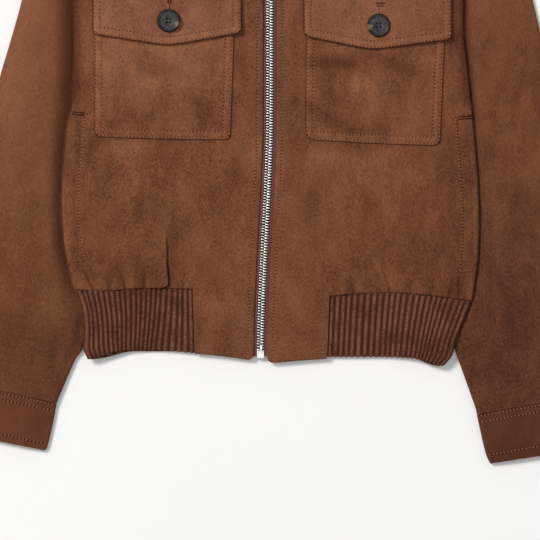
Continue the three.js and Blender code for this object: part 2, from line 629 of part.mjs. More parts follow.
function sliderBody() {
  const { width, core, length, plate } = SLIDER;
  const top = solidOf(block(width, length, plate, 0, 0, plate / 2));
  const under = solidOf(block(core, length, 2.2, 0, 0, -1.05));
  const arch = solidOf(block(BRIDGE.width, BRIDGE.length, BRIDGE.rise, 0, 0, plate + BRIDGE.rise / 2 - 0.05));
  const hole = solidOf(block(BRIDGE.width + 2, BRIDGE.hole, BRIDGE.holeRise, 0, 0, plate + BRIDGE.holeRise / 2));
  return geometryOf(top.add(under).add(arch.subtract(hole)));
}

// The pull hangs from a bar through the slider's bridge: its own origin is that bar's axis
function pullTab() {
  const half = PULL.width / 2;
  const end = PULL.length;
  const outline = new THREE.Shape();
  outline.moveTo(-half + 1.4, BRIDGE.bar / 2);
  outline.lineTo(half - 1.4, BRIDGE.bar / 2);
  outline.lineTo(half - 0.6, -4);
  outline.absarc(0, -end + half, half, 0, Math.PI, true);
  outline.lineTo(-half + 0.6, -4);
  const depth = PULL.thick;
  const blank = new THREE.ExtrudeGeometry(outline, { depth, bevelEnabled: false, curveSegments: 12 });
  const window = block(PULL.window, PULL.windowLength, 2 * depth, 0, -(BRIDGE.bar + PULL.windowLength) / 2, 0);
  const eye = new THREE.CylinderGeometry(1.7, 1.7, 2 * depth, 16).rotateX(Math.PI / 2).translate(0, half - end + 0.4, 0);
  return geometryOf(solidOf(blank.translate(0, 0, -depth / 2)).subtract(solidOf(window)).subtract(solidOf(eye)));
}

function button() {
  const { radius, thick, rim, dish, hole, holeFrom } = BUTTON;
  const profile = [
    [0, 0], [radius - 1.6, 0], [radius, 1.2], [radius, thick - 0.9], [radius - 0.7, thick - 0.1],
    [radius - rim + 0.4, thick], [radius - rim - 0.5, thick - dish], [0, thick - dish],
  ].map(([r, z]) => new THREE.Vector2(r, z));
  let made = solidOf(new THREE.LatheGeometry(profile, 26).rotateX(Math.PI / 2));
  for (let k = 0; k < 4; k += 1) {
    const turn = Math.PI / 4 + (k * Math.PI) / 2;
    const pin = new THREE.CylinderGeometry(hole, hole, 4 * thick, 8).rotateX(Math.PI / 2);
    made = made.subtract(solidOf(pin.translate(holeFrom * Math.cos(turn), holeFrom * Math.sin(turn), 0)));
  }
  return geometryOf(made);
}

// Collar, one half from the centre front round to the centre back. turn is 0 on the front, 180 under the back.
// neck is its seam, roll the fold at the top of the stand and leaf the outer edge of the fall.
const collarRows = [
  { neckX: 9.5, rollX: 10.5, rollUp: 562, leafX: 55, leafUp: 494, turn: 0 },
  { neckX: 21.4, rollX: 21, rollUp: 569, leafX: 67, leafUp: 502, turn: 0 },
  { neckX: 34.8, rollX: 32.5, rollUp: 579, leafX: 78, leafUp: 518, turn: 0 },
  { neckX: 48.2, rollX: 43, rollUp: 592, leafX: 89, leafUp: 543, turn: 0 },
  { neckX: 61.6, rollX: 55, rollUp: 610, leafX: 98, leafUp: 571, turn: 0 },
  { neckX: 69, rollX: 63, rollUp: 623, leafX: 104.5, leafUp: 588, turn: 0 },
  { neckX: 71.5, rollX: 66, rollUp: 630, leafX: 108, leafUp: 600.5, turn: 30 },
  { neckX: 71.5, rollX: 66, rollUp: 630, leafX: 108, leafUp: 600.5, turn: 60 },
  { neckX: 71.5, rollX: 66, rollUp: 630, leafX: 108, leafUp: 600.5, turn: 90 },
  { neckX: 71.5, rollX: 66, rollUp: 630, leafX: 108, leafUp: 600.5, turn: 120 },
  { neckX: 71.5, rollX: 66, rollUp: 630, leafX: 108, leafUp: 600.5, turn: 150 },
  { neckX: 68, rollX: 62, rollUp: 632, leafX: 102, leafUp: 593, turn: 180 },
  { neckX: 45, rollX: 43, rollUp: 634, leafX: 72, leafUp: 586, turn: 180 },
  { neckX: 30, rollX: 28, rollUp: 635.5, leafX: 48, leafUp: 582, turn: 180 },
  { neckX: 15, rollX: 14, rollUp: 636.5, leafX: 23, leafUp: 580, turn: 180 },
  { neckX: 0, rollX: 0, rollUp: 637, leafX: 0, leafUp: 579, turn: 180 },
];
const collarColumns = [
  ...collarRows.map((row) => ({ ...row, sign: -1 })),
  ...collarRows.slice(0, -1).reverse().map((row) => ({ ...row, sign: 1 })),
];
const NECK_OUT = new THREE.Vector2(0.96, 0.27);      // way out of the neck's side fold
const SHOULDER_OUT = new THREE.Vector2(0.25, 0.968); // way out of the shoulder's fold
const NECK_CORNER_GAP = 1.5;
const COLLAR_BODY_UP = 598;
const onBody = (up) => Math.min(up, COLLAR_BODY_UP);

// Height of the collar's seam: on the neckline, and a little clear of the corner where it turns
function neckSeamUp(c) {
  if (c.turn > 0 && c.turn < 180) return NECK_SIDE_UP - 1 + NECK_CORNER_GAP;
  return (c.turn ? backNeckUp(c.neckX) : frontNeckUp(c.neckX)) + SEAM_GAP;
}

// A point of the collar at a place, off the neck's middle by a radius, turned round its side folds
function collarPoint(c, x, up, radius, share) {
  const turn = THREE.MathUtils.degToRad(c.turn);
  const out = NECK_OUT.clone().lerp(SHOULDER_OUT, share).normalize();
  const bend = radius * Math.sin(turn);
  const z = middle(x, onBody(up)) + radius * Math.cos(turn);
  return at(c.sign * (x + out.x * bend), up + out.y * bend, z);
}
const collarHalf = (x, up) => halfHeight(x, onBody(up));

function collarStand() {
  const rows = 3;
  const make = (deep) => grid(rows + 1, collarColumns.length, (i, j) => {
    const c = collarColumns[j];
    const x = mix(c.neckX, c.rollX, i / rows);
    const up = mix(neckSeamUp(c), c.rollUp, i / rows);
    return collarPoint(c, x, up, collarHalf(x, up) - deep, 0);
  });
  return wall(make(0), make(WALL));
}

// Section of the fall where it rolls over the stand: past the stand's edge, and off the stand's outer face
const collarRoll = [
  { outerPast: 3.4, outerOff: -1.4, innerPast: 1.4, innerOff: -1.4 },
  { outerPast: 3.0, outerOff: 0.7, innerPast: 1.2, innerOff: 0 },
  { outerPast: 1.7, outerOff: 2.1, innerPast: 0.7, innerOff: 0.4 },
  { outerPast: 0, outerOff: FALL_WALL + LAYER_GAP, innerPast: 0, innerOff: LAYER_GAP },
];
function collarFall() {
  const rows = 5;
  const make = (which) => grid(rows + collarRoll.length, collarColumns.length, (i, j) => {
    const c = collarColumns[j];
    const roll = collarRoll[Math.min(i, collarRoll.length - 1)];
    const share = Math.max(0, i + 1 - collarRoll.length) / rows;
    const rise = new THREE.Vector2(c.rollX - c.neckX, c.rollUp - neckSeamUp(c)).normalize();
    const past = roll[`${which}Past`];
    const x = mix(c.rollX, c.leafX, share) + rise.x * past;
    const up = mix(c.rollUp, c.leafUp, share) + rise.y * past;
    const onFront = c.turn === 0 ? 0.3 * ease(0, 0.4, share) : 0;
    return collarPoint(c, x, up, collarHalf(x, up) + roll[`${which}Off`] + onFront, share);
  });
  return wall(make('outer'), make('inner'));
}

// Materials, from the photograph's colours
const finish = (color, roughness, metalness = 0) => new THREE.MeshStandardMaterial({ color, roughness, metalness });
const suede = finish(0x74492f, 0.95);
const knit = finish(0x573526, 0.95);
const tapeCloth = finish(0x5d4138, 0.9);
const nickel = finish(0xd5d3cf, 0.3, 1);
const horn = finish(0x2a2b2d, 0.35);

const jacket = new THREE.Group();
jacket.name = 'suede_jacket';
const laid = new THREE.Group();
laid.position.set(-CENTRE_ACROSS, -CENTRE_UP, 0);
jacket.add(laid);
function piece(name, geometry, material, parent = laid) {
  const mesh = new THREE.Mesh(geometry, material);
  mesh.name = name;
  parent.add(mesh);
  return mesh;
}

piece('back', backPanel(), suede);
for (const side of ['left', 'right']) {
  piece(`front_${side}`, frontPanel(side), suede);
  piece(`sleeve_${side}`, sleeve(side), suede);
  piece(`cuff_${side}`, cuff(side), suede);
  piece(`pocket_${side}`, pocketPatch(side), suede);
  piece(`flap_${side}`, pocketFlap(side), suede);
  piece(`welt_${side}`, welt(side), suede);
  piece(`zip_tape_${side}`, tape(signOf(side)), tapeCloth);

  // A button sits flat on the highest point of the flap beneath it
  const { across, up } = pockets[side].button;
  const under = Array.from({ length: 16 }, (_, k) => {
    const turn = (k * Math.PI) / 8;
    return frontTop(across + BUTTON.radius * Math.cos(turn), up + BUTTON.radius * Math.sin(turn));
  });
  const onFlap = 2 * (LAYER_GAP + POCKET_WALL) + SEAM_GAP;
  piece(`button_${side}`, button(), horn).position.set(across, up, Math.max(...under) + onFlap);
}
piece('hem_rib', hemRib(), knit);
piece('collar_stand', collarStand(), suede);
piece('collar_fall', collarFall(), suede);

const chainLow = BOX.low + BOX.length + SEAM_GAP;
const chainHigh = SLIDER.low - SEAM_GAP;
piece('zip_chain', zipStrip(-chainHalf, chainHalf, chainLow, chainHigh, chainTop - CHAIN_HEIGHT, chainTop), nickel);
piece('zip_box', block(BOX.width, BOX.length, CHAIN_HEIGHT + 0.6, 0, 0, 0), nickel)
  .position.set(zipAcross(BOX.low), BOX.low + BOX.length / 2, zipLevel(BOX.low) - TAPE_WALL / 2);

const slider = new THREE.Group();
const sliderUp = SLIDER.low + SLIDER.length / 2;
slider.position.set(zipAcross(sliderUp), sliderUp, zipLevel(sliderUp) + SEAM_GAP);
laid.add(slider);
piece('zip_slider', sliderBody(), nickel, slider);
const pull = piece('zip_pull', pullTab(), nickel, slider);
pull.position.set(0, 0, SLIDER.plate + BRIDGE.holeRise / 2);
pull.rotation.x = THREE.MathUtils.degToRad(PULL.tilt);

export default jacket;
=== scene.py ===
# A brown suede jacket laid flat on its back on a pale table, seen from straight above.
# Sizes are in millimetres, across from the zip and up from the hem line, until place() turns them to metres.
import bmesh
import bpy
import math
import numpy as np
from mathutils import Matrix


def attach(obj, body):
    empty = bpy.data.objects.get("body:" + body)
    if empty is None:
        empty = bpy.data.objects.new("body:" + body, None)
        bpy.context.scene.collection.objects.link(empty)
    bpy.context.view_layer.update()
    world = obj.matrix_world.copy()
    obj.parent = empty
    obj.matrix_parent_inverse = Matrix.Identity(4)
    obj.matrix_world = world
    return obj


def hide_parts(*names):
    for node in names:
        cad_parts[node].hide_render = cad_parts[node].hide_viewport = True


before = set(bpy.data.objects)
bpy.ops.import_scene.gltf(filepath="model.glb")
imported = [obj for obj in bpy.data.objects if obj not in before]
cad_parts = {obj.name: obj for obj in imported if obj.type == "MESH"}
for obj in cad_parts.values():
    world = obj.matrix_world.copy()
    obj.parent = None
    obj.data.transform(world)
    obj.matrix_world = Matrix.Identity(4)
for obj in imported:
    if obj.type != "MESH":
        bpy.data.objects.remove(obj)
scene = bpy.context.scene
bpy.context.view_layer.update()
print("frame loaded:", len(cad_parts), "nodes")

layout = {"centreAcross": -2.0, "centreUp": 265.0, "body": "jacket"}
cloth = {"wall": 2.4, "pocketWall": 1.8, "layerGap": 0.35, "pressed": 0.8, "loft": 3.2}


# small helpers

def smooth(low, high, value):
    t = np.clip((value - low) / (high - low), 0, 1)
    return t * t * (3 - 2 * t)


def mix(a, b, t):
    return a + (b - a) * t


# smooth line through a table's rows, the same one that shapes the solids
def along(table, column, at):
    xs = np.array([row[0] for row in table], float)
    ys = np.array([row[column] for row in table], float)
    if xs[0] > xs[-1]:
        xs, ys = xs[::-1], ys[::-1]
    slope = np.empty_like(ys)
    slope[1:-1] = (ys[2:] - ys[:-2]) / (xs[2:] - xs[:-2])
    slope[0] = (ys[1] - ys[0]) / (xs[1] - xs[0])
    slope[-1] = (ys[-1] - ys[-2]) / (xs[-1] - xs[-2])
    at = np.clip(at, xs[0], xs[-1])
    i = np.clip(np.searchsorted(xs, at, side="right") - 1, 0, len(xs) - 2)
    step = xs[i + 1] - xs[i]
    t = (at - xs[i]) / step
    p, q, tp, tq = ys[i], ys[i + 1], slope[i] * step, slope[i + 1] * step
    return p + t * tp + t * t * (3 * (q - p) - 2 * tp - tq) + t ** 3 * (2 * (p - q) + tp + tq)


def rounded(distance, radius):
    inside = np.clip(distance / radius, 0, 1)
    return np.sqrt(np.clip(1 - (1 - inside) ** 2, 0, 1))


# soft hills and hollows that are the same on every run
def rolling(x, up, size, seed, stretch=1.0):
    table = np.random.default_rng(seed).uniform(-1, 1, (64, 64))
    a = x / size + 900.37
    b = up / (size * stretch) + 900.71
    i, j = np.floor(a).astype(int), np.floor(b).astype(int)
    s, t = a - i, b - j
    s, t = s * s * (3 - 2 * s), t * t * (3 - 2 * t)
    pick = lambda di, dj: table[(i + di) % 64, (j + dj) % 64]
    return mix(mix(pick(0, 0), pick(1, 0), s), mix(pick(0, 1), pick(1, 1), s), t)


def place(x, up, z):
    x, up, z = np.broadcast_arrays(x, up, z)
    return np.stack([x - layout["centreAcross"], up - layout["centreUp"], z], -1) * 0.001


# positions between two ends: fixed distances from each end, even steps between them
def spaced(low, high, fromLow, fromHigh, count):
    low, high = np.broadcast_arrays(np.asarray(low, float), np.asarray(high, float))
    start = [low + d for d in fromLow]
    end = [high - d for d in reversed(fromHigh)]
    middleShares = np.linspace(0, 1, count + 2)[1:-1]
    between = [mix(start[-1], end[0], share) for share in middleShares]
    return np.stack(start + between + end)


# a closed wall between an outer and an inner grid of points
def wallMesh(name, outer, inner, around=False, present=None, chart=None):
    rows, columns = outer.shape[:2]
    cellColumns = columns if around else columns - 1
    mask = np.ones((rows - 1, cellColumns), bool) if present is None else present
    count = rows * columns
    ids = np.arange(count).reshape(rows, columns)
    nextIds = np.roll(ids, -1, 1)
    a, b = ids[:-1, :cellColumns], nextIds[:-1, :cellColumns]
    d, c = ids[1:, :cellColumns], nextIds[1:, :cellColumns]
    top = np.stack([a, b, c, d], -1)[mask]
    quads = [top, top[:, ::-1] + count]
    padded = np.pad(mask, 1)
    if around:
        padded[1:-1, 0], padded[1:-1, -1] = mask[:, -1], mask[:, 0]
    edges = [(padded[:-2, 1:-1], a, b), (padded[2:, 1:-1], c, d), (padded[1:-1, :-2], d, a),
        (padded[1:-1, 2:], b, c)]
    for neighbour, p, q in edges:
        opened = mask & ~neighbour
        p, q = p[opened], q[opened]
        quads.append(np.stack([q, p, p + count, q + count], -1))
    quads = np.concatenate(quads)
    points = np.concatenate([outer.reshape(-1, 3), inner.reshape(-1, 3)])
    used, quads = np.unique(quads, return_inverse=True)
    points, quads = points[used], quads.reshape(-1, 4)
    p = points[quads]
    volume = np.einsum("ij,ij->i", p[:, 0], np.cross(p[:, 1], p[:, 2]) + np.cross(p[:, 2], p[:, 3])).sum()
    if volume < 0:
        quads = quads[:, ::-1]
    made = meshObject(name, points, quads)
    if chart is not None:
        uvMap = made.data.uv_layers.new(name="map")
        both = np.concatenate([chart.reshape(-1, 2), chart.reshape(-1, 2)])[used]
        uvMap.data.foreach_set("uv", both[quads.ravel()].ravel())
    return made


def meshObject(name, points, faces):
    mesh = bpy.data.meshes.new(name)
    mesh.from_pydata(points.tolist() if hasattr(points, "tolist") else points, [],
        [list(map(int, f)) for f in faces])
    mesh.update()
    made = bpy.data.objects.new(name, mesh)
    scene.collection.objects.link(made)
    mesh.polygons.foreach_set("use_smooth", np.ones(len(mesh.polygons), bool))
    return made


def sharpen(piece, degrees):
    bpy.ops.object.select_all(action="DESELECT")
    piece.select_set(True)
    bpy.context.view_layer.objects.active = piece
    bpy.ops.object.shade_smooth_by_angle(angle=math.radians(degrees))
    piece.select_set(False)


def finished(piece, material, nodes=(), body=None):
    for one in material if isinstance(material, (list, tuple)) else [material]:
        piece.data.materials.append(one)
    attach(piece, body or layout["body"])
    if nodes:
        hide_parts(*nodes)
    return piece


# square metres inside an outline in millimetres
def outlineArea(points):
    x, up = np.array(points, float).T
    return float(abs(np.dot(x, np.roll(up, -1)) - np.dot(up, np.roll(x, -1)))) / 2e6


# the jacket's outline and heights, from the same tables as its solids

bodyEdge = [
    (60, -200, 211.5), (80, -207.2, 214.4), (100, -211, 217.2), (120, -215.2, 218.5), (150, -217.6, 219.2),
    (190, -217.6, 217.6), (230, -213.8, 214.4), (246, -212.3, 213), (254, -211.2, 212.2),
    (261, -208.2, 211.6), (275, -207.4, 210), (310, -205.5, 206), (345, -205.2, 202.4),
    (380, -205.8, 202.7), (415, -205, 203), (445, -201.5, 201), (475, -199.5, 199.5), (510, -202, 202),
    (542, -210, 210), (572, -226, 226),
]
frontNeck = [(8, 541), (25, 548), (45, 565), (62, 588), (75, 611)]
# share from the tab, left seam, left hem, right seam, right hem
ribFront = [(0, 74.5, 7.5, 67, 3.5), (0.25, 75, 10.6, 70, 3.5), (0.5, 75, 11, 70.4, 3.3),
    (0.75, 72.5, 9, 67, 1), (1, 74, 1, 62.5, -6)]
ribSide = [(0, -203.4, 211), (0.3, -196.7, 203), (0.6, -195, 195), (0.85, -195.6, 190.5), (1, -191, 182)]
tabHem = {-1: [(-81, 6.9), (-48, 3.8), (-23, 0.5), (-17, 0.6)],
    1: [(-1, -2.6), (5.5, -2.8), (27, -1), (62.6, 1.5)]}
ribTab = {-1: -81, 1: 62.6}
neckSide = (75, 611)
shoulder = (226, 572)
zipSlit = 7.3
sleeveRows = {
    -1: [(-189, 556, -224, 567), (-184, 530, -238.5, 543), (-178, 498, -245.5, 504), (-171, 458, -250.5, 458),
         (-164, 418, -255, 415), (-157, 378, -260.5, 378), (-151, 336, -272, 336), (-149, 288, -285.5, 290),
         (-152, 230, -301, 230), (-160, 168, -313, 168), (-172, 115, -322, 115), (-184, 66, -328.5, 66),
         (-195.8, 14.7, -334, 22), (-204.5, 0, -336, 8), (-220.6, -37, -338.5, -12),
         (-223.7, -45, -339.2, -19)],
    1: [(189, 556, 224, 567), (184, 530, 240, 545), (178, 498, 249, 504), (171, 458, 258, 458),
        (164, 418, 267, 415), (157, 378, 275.5, 378), (151, 336, 285.5, 337), (149, 288, 297, 290),
        (152, 230, 311, 230), (160, 168, 321, 168), (171, 115, 328, 115), (181, 66, 333, 66),
        (193.5, 13, 337, 16), (202, -12, 338, -4), (214.8, -48, 335.5, -28), (216.9, -56.7, 334.5, -36)],
}
cuffRows = {
    -1: [(-223.9, -45.4, -339.3, -19.4), (-228.4, -69, -345, -45), (-233.7, -91, -349.6, -68),
    (-236.5, -94.7, -349.2, -72)],
    1: [(217, -57.1, 334.6, -36.4), (221.5, -78, 340.5, -60), (226.4, -98, 345.6, -86),
    (231, -108.6, 345, -91)],
}


def zipAcross(up):
    return -10 * (1 - smooth(0, 270, up))


def edgeAcross(side, up):
    return along(bodyEdge, 1 if side < 0 else 2, np.minimum(up, shoulder[1]))


def shoulderUp(x):
    return mix(neckSide[1], shoulder[1], (np.abs(x) - neckSide[0]) / (shoulder[0] - neckSide[0]))


def frontNeckUp(x):
    return along(frontNeck, 1, np.abs(x))


def backNeckUp(x):
    return mix(600, neckSide[1], (x / neckSide[0]) ** 2)


def ribSeamUp(side, x):
    share = np.clip((x - ribTab[side]) / (ribSide[0][1 if side < 0 else 2] - ribTab[side]), 0, 1)
    return along(ribFront, 1 if side < 0 else 3, share)


def backHemUp(share):
    return mix(mix(1, 9, smooth(0, 0.12, share)), -6, smooth(0.88, 1, share))


def backSeamUp(x):
    share = np.clip((x + 203.4) / 414.4, 0, 1)
    return mix(mix(74, 70, smooth(0, 0.3, share)), 62.5, smooth(0.5, 1, share))


def outlineAcross(side, up):
    seam, hem = (74, 1) if side < 0 else (62.5, -6)
    rib = along(ribSide, 1 if side < 0 else 2, np.clip((seam - up) / (seam - hem), 0, 1))
    return np.where(up > seam, edgeAcross(side, up), rib)


def bySide(x, left, right):
    return np.where(x < 0, left, right)


# the seam between the suede tab and the rib leans a little
def tabSeamAt(side, up):
    share = np.clip(np.asarray(up, float) / 70, 0, 1.2)
    return mix(ribTab[side] + (2.4 if side < 0 else -2.8), ribTab[side], share)


def frontArea(side):
    edge = [(float(edgeAcross(side, up)), up) for up in np.linspace(72, shoulder[1], 60)]
    seam = [(x, float(ribSeamUp(side, x))) for x in np.linspace(ribTab[side], edge[0][0], 20)]
    neck = [(side * x, up) for x, up in frontNeck[::-1]]
    zipEdge = [(float(zipAcross(up)) + side * zipSlit, up) for up in np.linspace(neck[-1][1], 0, 40)]
    return outlineArea(seam + edge + neck + zipEdge + sorted(tabHem[side], reverse=side < 0))


def backArea():
    ups = np.linspace(72, shoulder[1], 60)
    left = [(float(edgeAcross(-1, up)), up) for up in ups]
    right = [(float(edgeAcross(1, up)), up) for up in ups[::-1]]
    neck = [(x, float(backNeckUp(x))) for x in np.linspace(-neckSide[0], neckSide[0], 16)]
    seam = [(x, float(backSeamUp(x))) for x in np.linspace(right[-1][0], left[0][0], 30)]
    return outlineArea(left + neck + right + seam)


# the rib's two front panels and the strip across the back
def ribArea():
    shares = np.linspace(0, 1, 20)
    (leftTop, rightTop), (leftLow, rightLow) = ribSide[0][1:], ribSide[-1][1:]
    total = 0
    for side, top, low, column in ((-1, leftTop, leftLow, 1), (1, rightTop, rightLow, 3)):
        seam = [(mix(ribTab[side], top, s), float(along(ribFront, column, s))) for s in shares]
        hem = [(mix(ribTab[side], low, s), float(along(ribFront, column + 1, s))) for s in shares[::-1]]
        total += outlineArea(seam + hem)
    seam = [(x, float(backSeamUp(x))) for x in mix(leftTop, rightTop, shares)]
    hem = [(mix(leftLow, rightLow, s), float(backHemUp(s))) for s in shares[::-1]]
    return total + outlineArea(seam + hem)


def underside(x, up):
    inner = {side: np.abs(along([(row[1], row[0]) for row in sleeveRows[side]], 1, up)) for side in (-1, 1)}
    sleeve = bySide(x, inner[-1], inner[1])
    overSleeve = 6.1 * smooth(sleeve - 80, sleeve - 7, np.abs(x))
    overLeaf = 2.5 * smooth(530, 573, up) * (1 - smooth(128, 170, np.abs(x)))
    return np.maximum(overSleeve, overLeaf)


def fromSideEdge(x, up):
    return np.abs(bySide(x, edgeAcross(-1, up), edgeAcross(1, up))) - np.abs(x)


def loft(x, up):
    nearZip = 1 - smooth(56, 136, np.abs(x - zipAcross(up)))
    inFromSide = smooth(2, 50, fromSideEdge(x, up))
    below = np.maximum(smooth(2, 110, shoulderUp(x) - up), nearZip)
    return 0.8 + 2.4 * np.maximum(nearZip, smooth(64, 112, up) * inFromSide * below)


def halfHeight(x, up):
    return cloth["wall"] + loft(x, up) / 2


def middle(x, up):
    return underside(x, up) + halfHeight(x, up)


welts = {-1: (103, 259), 1: (92, 254.5), "near": 3.2, "far": 16, "wall": 1.3, "cut": (0.015, 0.165)}
# distances of the stitch rows from their edges
sewn = {"near": 1.9, "far": 8.5, "zip": 5.9, "welt": 1.9}


# folds of the fronts

pockets = {
    -1: {
        "patch": {"top": 376, "topIn": -36.4, "topOut": -184.6, "bottomIn": -41.4, "bottomOut": -183.8,
        "upIn": 231, "upOut": 234, "corner": 6},
        "flap": {"top": 394, "inner": -29.6, "outer": -186, "tip": -108, "upIn": 344, "upTip": 330,
        "upOut": 342.5, "corner": 5},
        "button": (-106, 355.4), "hole": -105.6,
    },
    1: {
        "patch": {"top": 374, "topIn": 38, "topOut": 184.6, "bottomIn": 36.8, "bottomOut": 178.4,
        "upIn": 231.5, "upOut": 224.5, "corner": 8},
        "flap": {"top": 391, "inner": 35, "outer": 190.5, "tip": 108.5, "upIn": 341, "upTip": 325.6,
        "upOut": 336.5, "corner": 6},
        "button": (113.9, 350.5), "hole": 114.4,
    },
}


# soft gathers that rise from the rib: across, lowest, highest, lean, width, rise
frontGathers = [
    (-194, 72, 100, -4, 6, 0.8), (-184, 74, 96, -10, 3.2, -0.9), (-175, 74, 112, -3, 6, 1.0),
    (-166, 74, 96, -5, 3, -0.9),
    (-158, 73, 106, -9, 5.5, 1.2), (-149.5, 74, 104, -8, 3, -1.3), (-140, 74, 118, -6, 6, 1.3),
    (-131, 75, 104, 3, 3, -1.1),
    (-122, 75, 120, 0, 6, 1.0), (-96, 75, 112, 3, 5, 0.8), (-90, 75, 104, 6, 3, -0.6),
    (-84, 76, 92, 0, 4, 0.4),
    (70, 67, 92, 2, 3.5, -0.6), (78, 69, 98, 2, 6, 0.9), (89, 70, 92, -3, 3, -0.8), (98, 70, 106, -8, 5, 0.7),
    (137, 68, 100, 3, 7, 0.9), (148, 67, 96, 6, 3.4, -0.9), (159, 66, 98, 4, 6, 0.8),
    (169, 66, 90, 5, 3, -0.7),
    (179, 65, 100, 5, 6, 0.9), (189, 64, 92, 6, 3, -0.8), (198, 64, 92, 5, 5, 0.7),
]
# pressed tucks with a crisp lower edge on one side: points of the line, drop side, height, reach
frontTucks = [
    {"line": [(-107.6, 140), (-108.4, 118), (-108, 100), (-106.2, 86), (-106.2, 79), (-109, 76.5),
    (-114, 75)], "side": 1, "height": 3.0, "reach": 10, "soft": 0.9},
    {"line": [(114, 104), (119, 92), (123, 80), (125.5, 70)], "side": 1, "height": 1.7, "reach": 9,
    "soft": 5.5},
    {"line": [(-200, 100), (-193, 88), (-186, 75)], "side": 1, "height": 1.3, "reach": 7, "soft": 1.4},
    {"line": [(197.6, 94), (197.2, 66)], "side": 1, "height": 1.3, "reach": 8, "soft": 1.0},
    {"line": [(94, 130), (101, 118), (104, 108)], "side": -1, "height": 0.7, "reach": 7, "soft": 2.4},
    {"line": [(88, 96), (98, 100), (108, 112)], "side": -1, "height": 0.6, "reach": 7, "soft": 2.4},
]


# soft patches of tone, partly where the nap lies another way and partly painted shade: under the flaps, below a
# pocket corner, beside tucks, folds and side edges, and over the right-hand side where the light falls off.
# Columns: across, up, half width, half height, lean in degrees, darker above zero
napAndPaintedShadePatches = {
    "frontLeft": [(-110, 40, 120, 60, 0, 0.1), (-146, 205, 15, 26, 10, -0.3), (-143, 184, 12, 12, 0, -0.3),
    (-146, 223, 26, 9, 0, -0.45), (-62, 58, 28, 13, 0, -0.45),
                  (-36, 40, 14, 30, 0, -0.25), (-24, 107, 9, 42, 0, -0.4), (-150, 92, 44, 15, 5, 0.4),
                  (-42, 189, 9, 14, 0, 0.35),
                  (-196, 287, 8, 14, 0, 0.35), (-31, 318, 6, 26, 0, 0.4), (-101, 124, 5, 30, 0, 0.4),
                  (-184, 229, 11, 6, 0, 0.45),
                  (-84, 160, 12, 34, 15, 0.2), (-176, 150, 8, 34, 6, 0.2), (-70, 214, 14, 10, 0, -0.2),
                  (-66, 120, 12, 22, -10, -0.15)],
    "frontRight": [(110, 190, 160, 260, 0, 0.17), (58, 210, 17, 9, 10, -0.4), (100, 206, 15, 11, 0, -0.25),
    (80, 178, 14, 20, 15, -0.25), (28, 228, 10, 15, 0, 0.5),
                   (44, 168, 12, 24, 0, 0.4), (154, 118, 46, 50, 10, 0.35), (197, 76, 8, 20, 0, 0.55),
                   (36, 40, 20, 24, 0, 0.15),
                   (104, 165, 10, 20, -25, 0.35), (112, 100, 3, 14, -30, -0.45),
                   (124, 92, 8, 18, -30, -0.25), (150, 196, 16, 14, 0, -0.2),
                   (200, 130, 12, 60, 0, 0.3), (197, 228, 10, 26, 0, 0.3), (30, 110, 12, 40, 0, -0.15),
                   (90, 224, 40, 4, 4, 0.3)],
    "pocketLeft": [(-105, 328, 34, 5, 0, -0.3), (-119, 305, 22, 7, 10, 0.35), (-66, 318, 12, 9, 0, 0.35),
    (-155, 308, 14, 8, 0, -0.25),
                   (-128, 290, 14, 8, 0, -0.45), (-112, 272, 20, 10, 15, -0.2), (-66, 262, 18, 20, 0, 0.3),
                   (-150, 256, 14, 10, 0, 0.2)],
    "pocketRight": [(100, 290, 90, 90, 0, 0.07), (63, 326, 26, 5, 0, -0.45), (71, 312, 22, 6, 0, 0.75),
    (135, 308, 26, 8, 20, 0.75), (161, 317, 13, 9, 0, -0.6),
                    (92, 290, 22, 11, 0, -0.65), (44, 290, 8, 18, 0, -0.4), (68, 251, 24, 8, 30, 0.65),
                    (96, 240, 20, 6, 0, 0.45),
                    (130, 262, 18, 14, 0, -0.15), (156, 270, 9, 26, 0, -0.25)],
    "flapLeft": [(-150, 376, 20, 10, 0, -0.2), (-60, 366, 10, 20, -20, 0.35), (-90, 350, 16, 6, 0, 0.2)],
    "flapRight": [(110, 365, 90, 60, 0, 0.16), (60, 365, 12, 16, 0, -0.2), (160, 356, 16, 10, 0, 0.2)],
    "weltRight": [(204, 130, 12, 60, 0, 0.4), (203, 225, 8, 30, 0, 0.25)],
    "weltLeft": [(-200, 200, 4, 60, 0, 0.3)],
    "sleeveLeft": [(-264, 40, 16, 40, 12, 0.35), (-228, 60, 9, 30, -12, -0.25), (-232, 150, 9, 60, 0, -0.2),
    (-300, 330, 20, 40, 0, 0.15)],
    "sleeveRight": [(262, 40, 22, 44, 10, 0.3), (236, 170, 9, 26, -15, -0.35), (290, 60, 18, 24, 0, 0.3),
    (246, 250, 10, 30, -10, -0.25), (262, 130, 14, 40, 10, 0.25)],
}


# sum of the soft patches of nap tone and painted shade at each point
def napAndPaintedShade(piece, x, up):
    tone = np.zeros(np.shape(x))
    for across, high, wide, tall, lean, darker in napAndPaintedShadePatches.get(piece, ()):
        c, s = math.cos(math.radians(lean)), math.sin(math.radians(lean))
        dx, dy = x - across, up - high
        tone += darker * np.exp(-((dx * c - dy * s) / wide) ** 2 - ((dx * s + dy * c) / tall) ** 2)
    return tone


def shadeChart(tone):
    return np.stack([tone, np.zeros_like(tone)], -1)


# a sewn-on piece's edge: darker where the edge turns under, partly the cut edge's own tone and partly painted
# shadow, with a painted highlight on the rim and between its two rows
def edgeShadowAndRimHighlight(distance, dark, wide):
    rim = -0.55 * np.exp(-(((distance - 1.9) / 0.9) ** 2)) - 0.14 * smooth(2.5, 4,
        distance) * (1 - smooth(7, 9, distance))
    return dark * np.exp(-((distance / wide) ** 2)) + rim
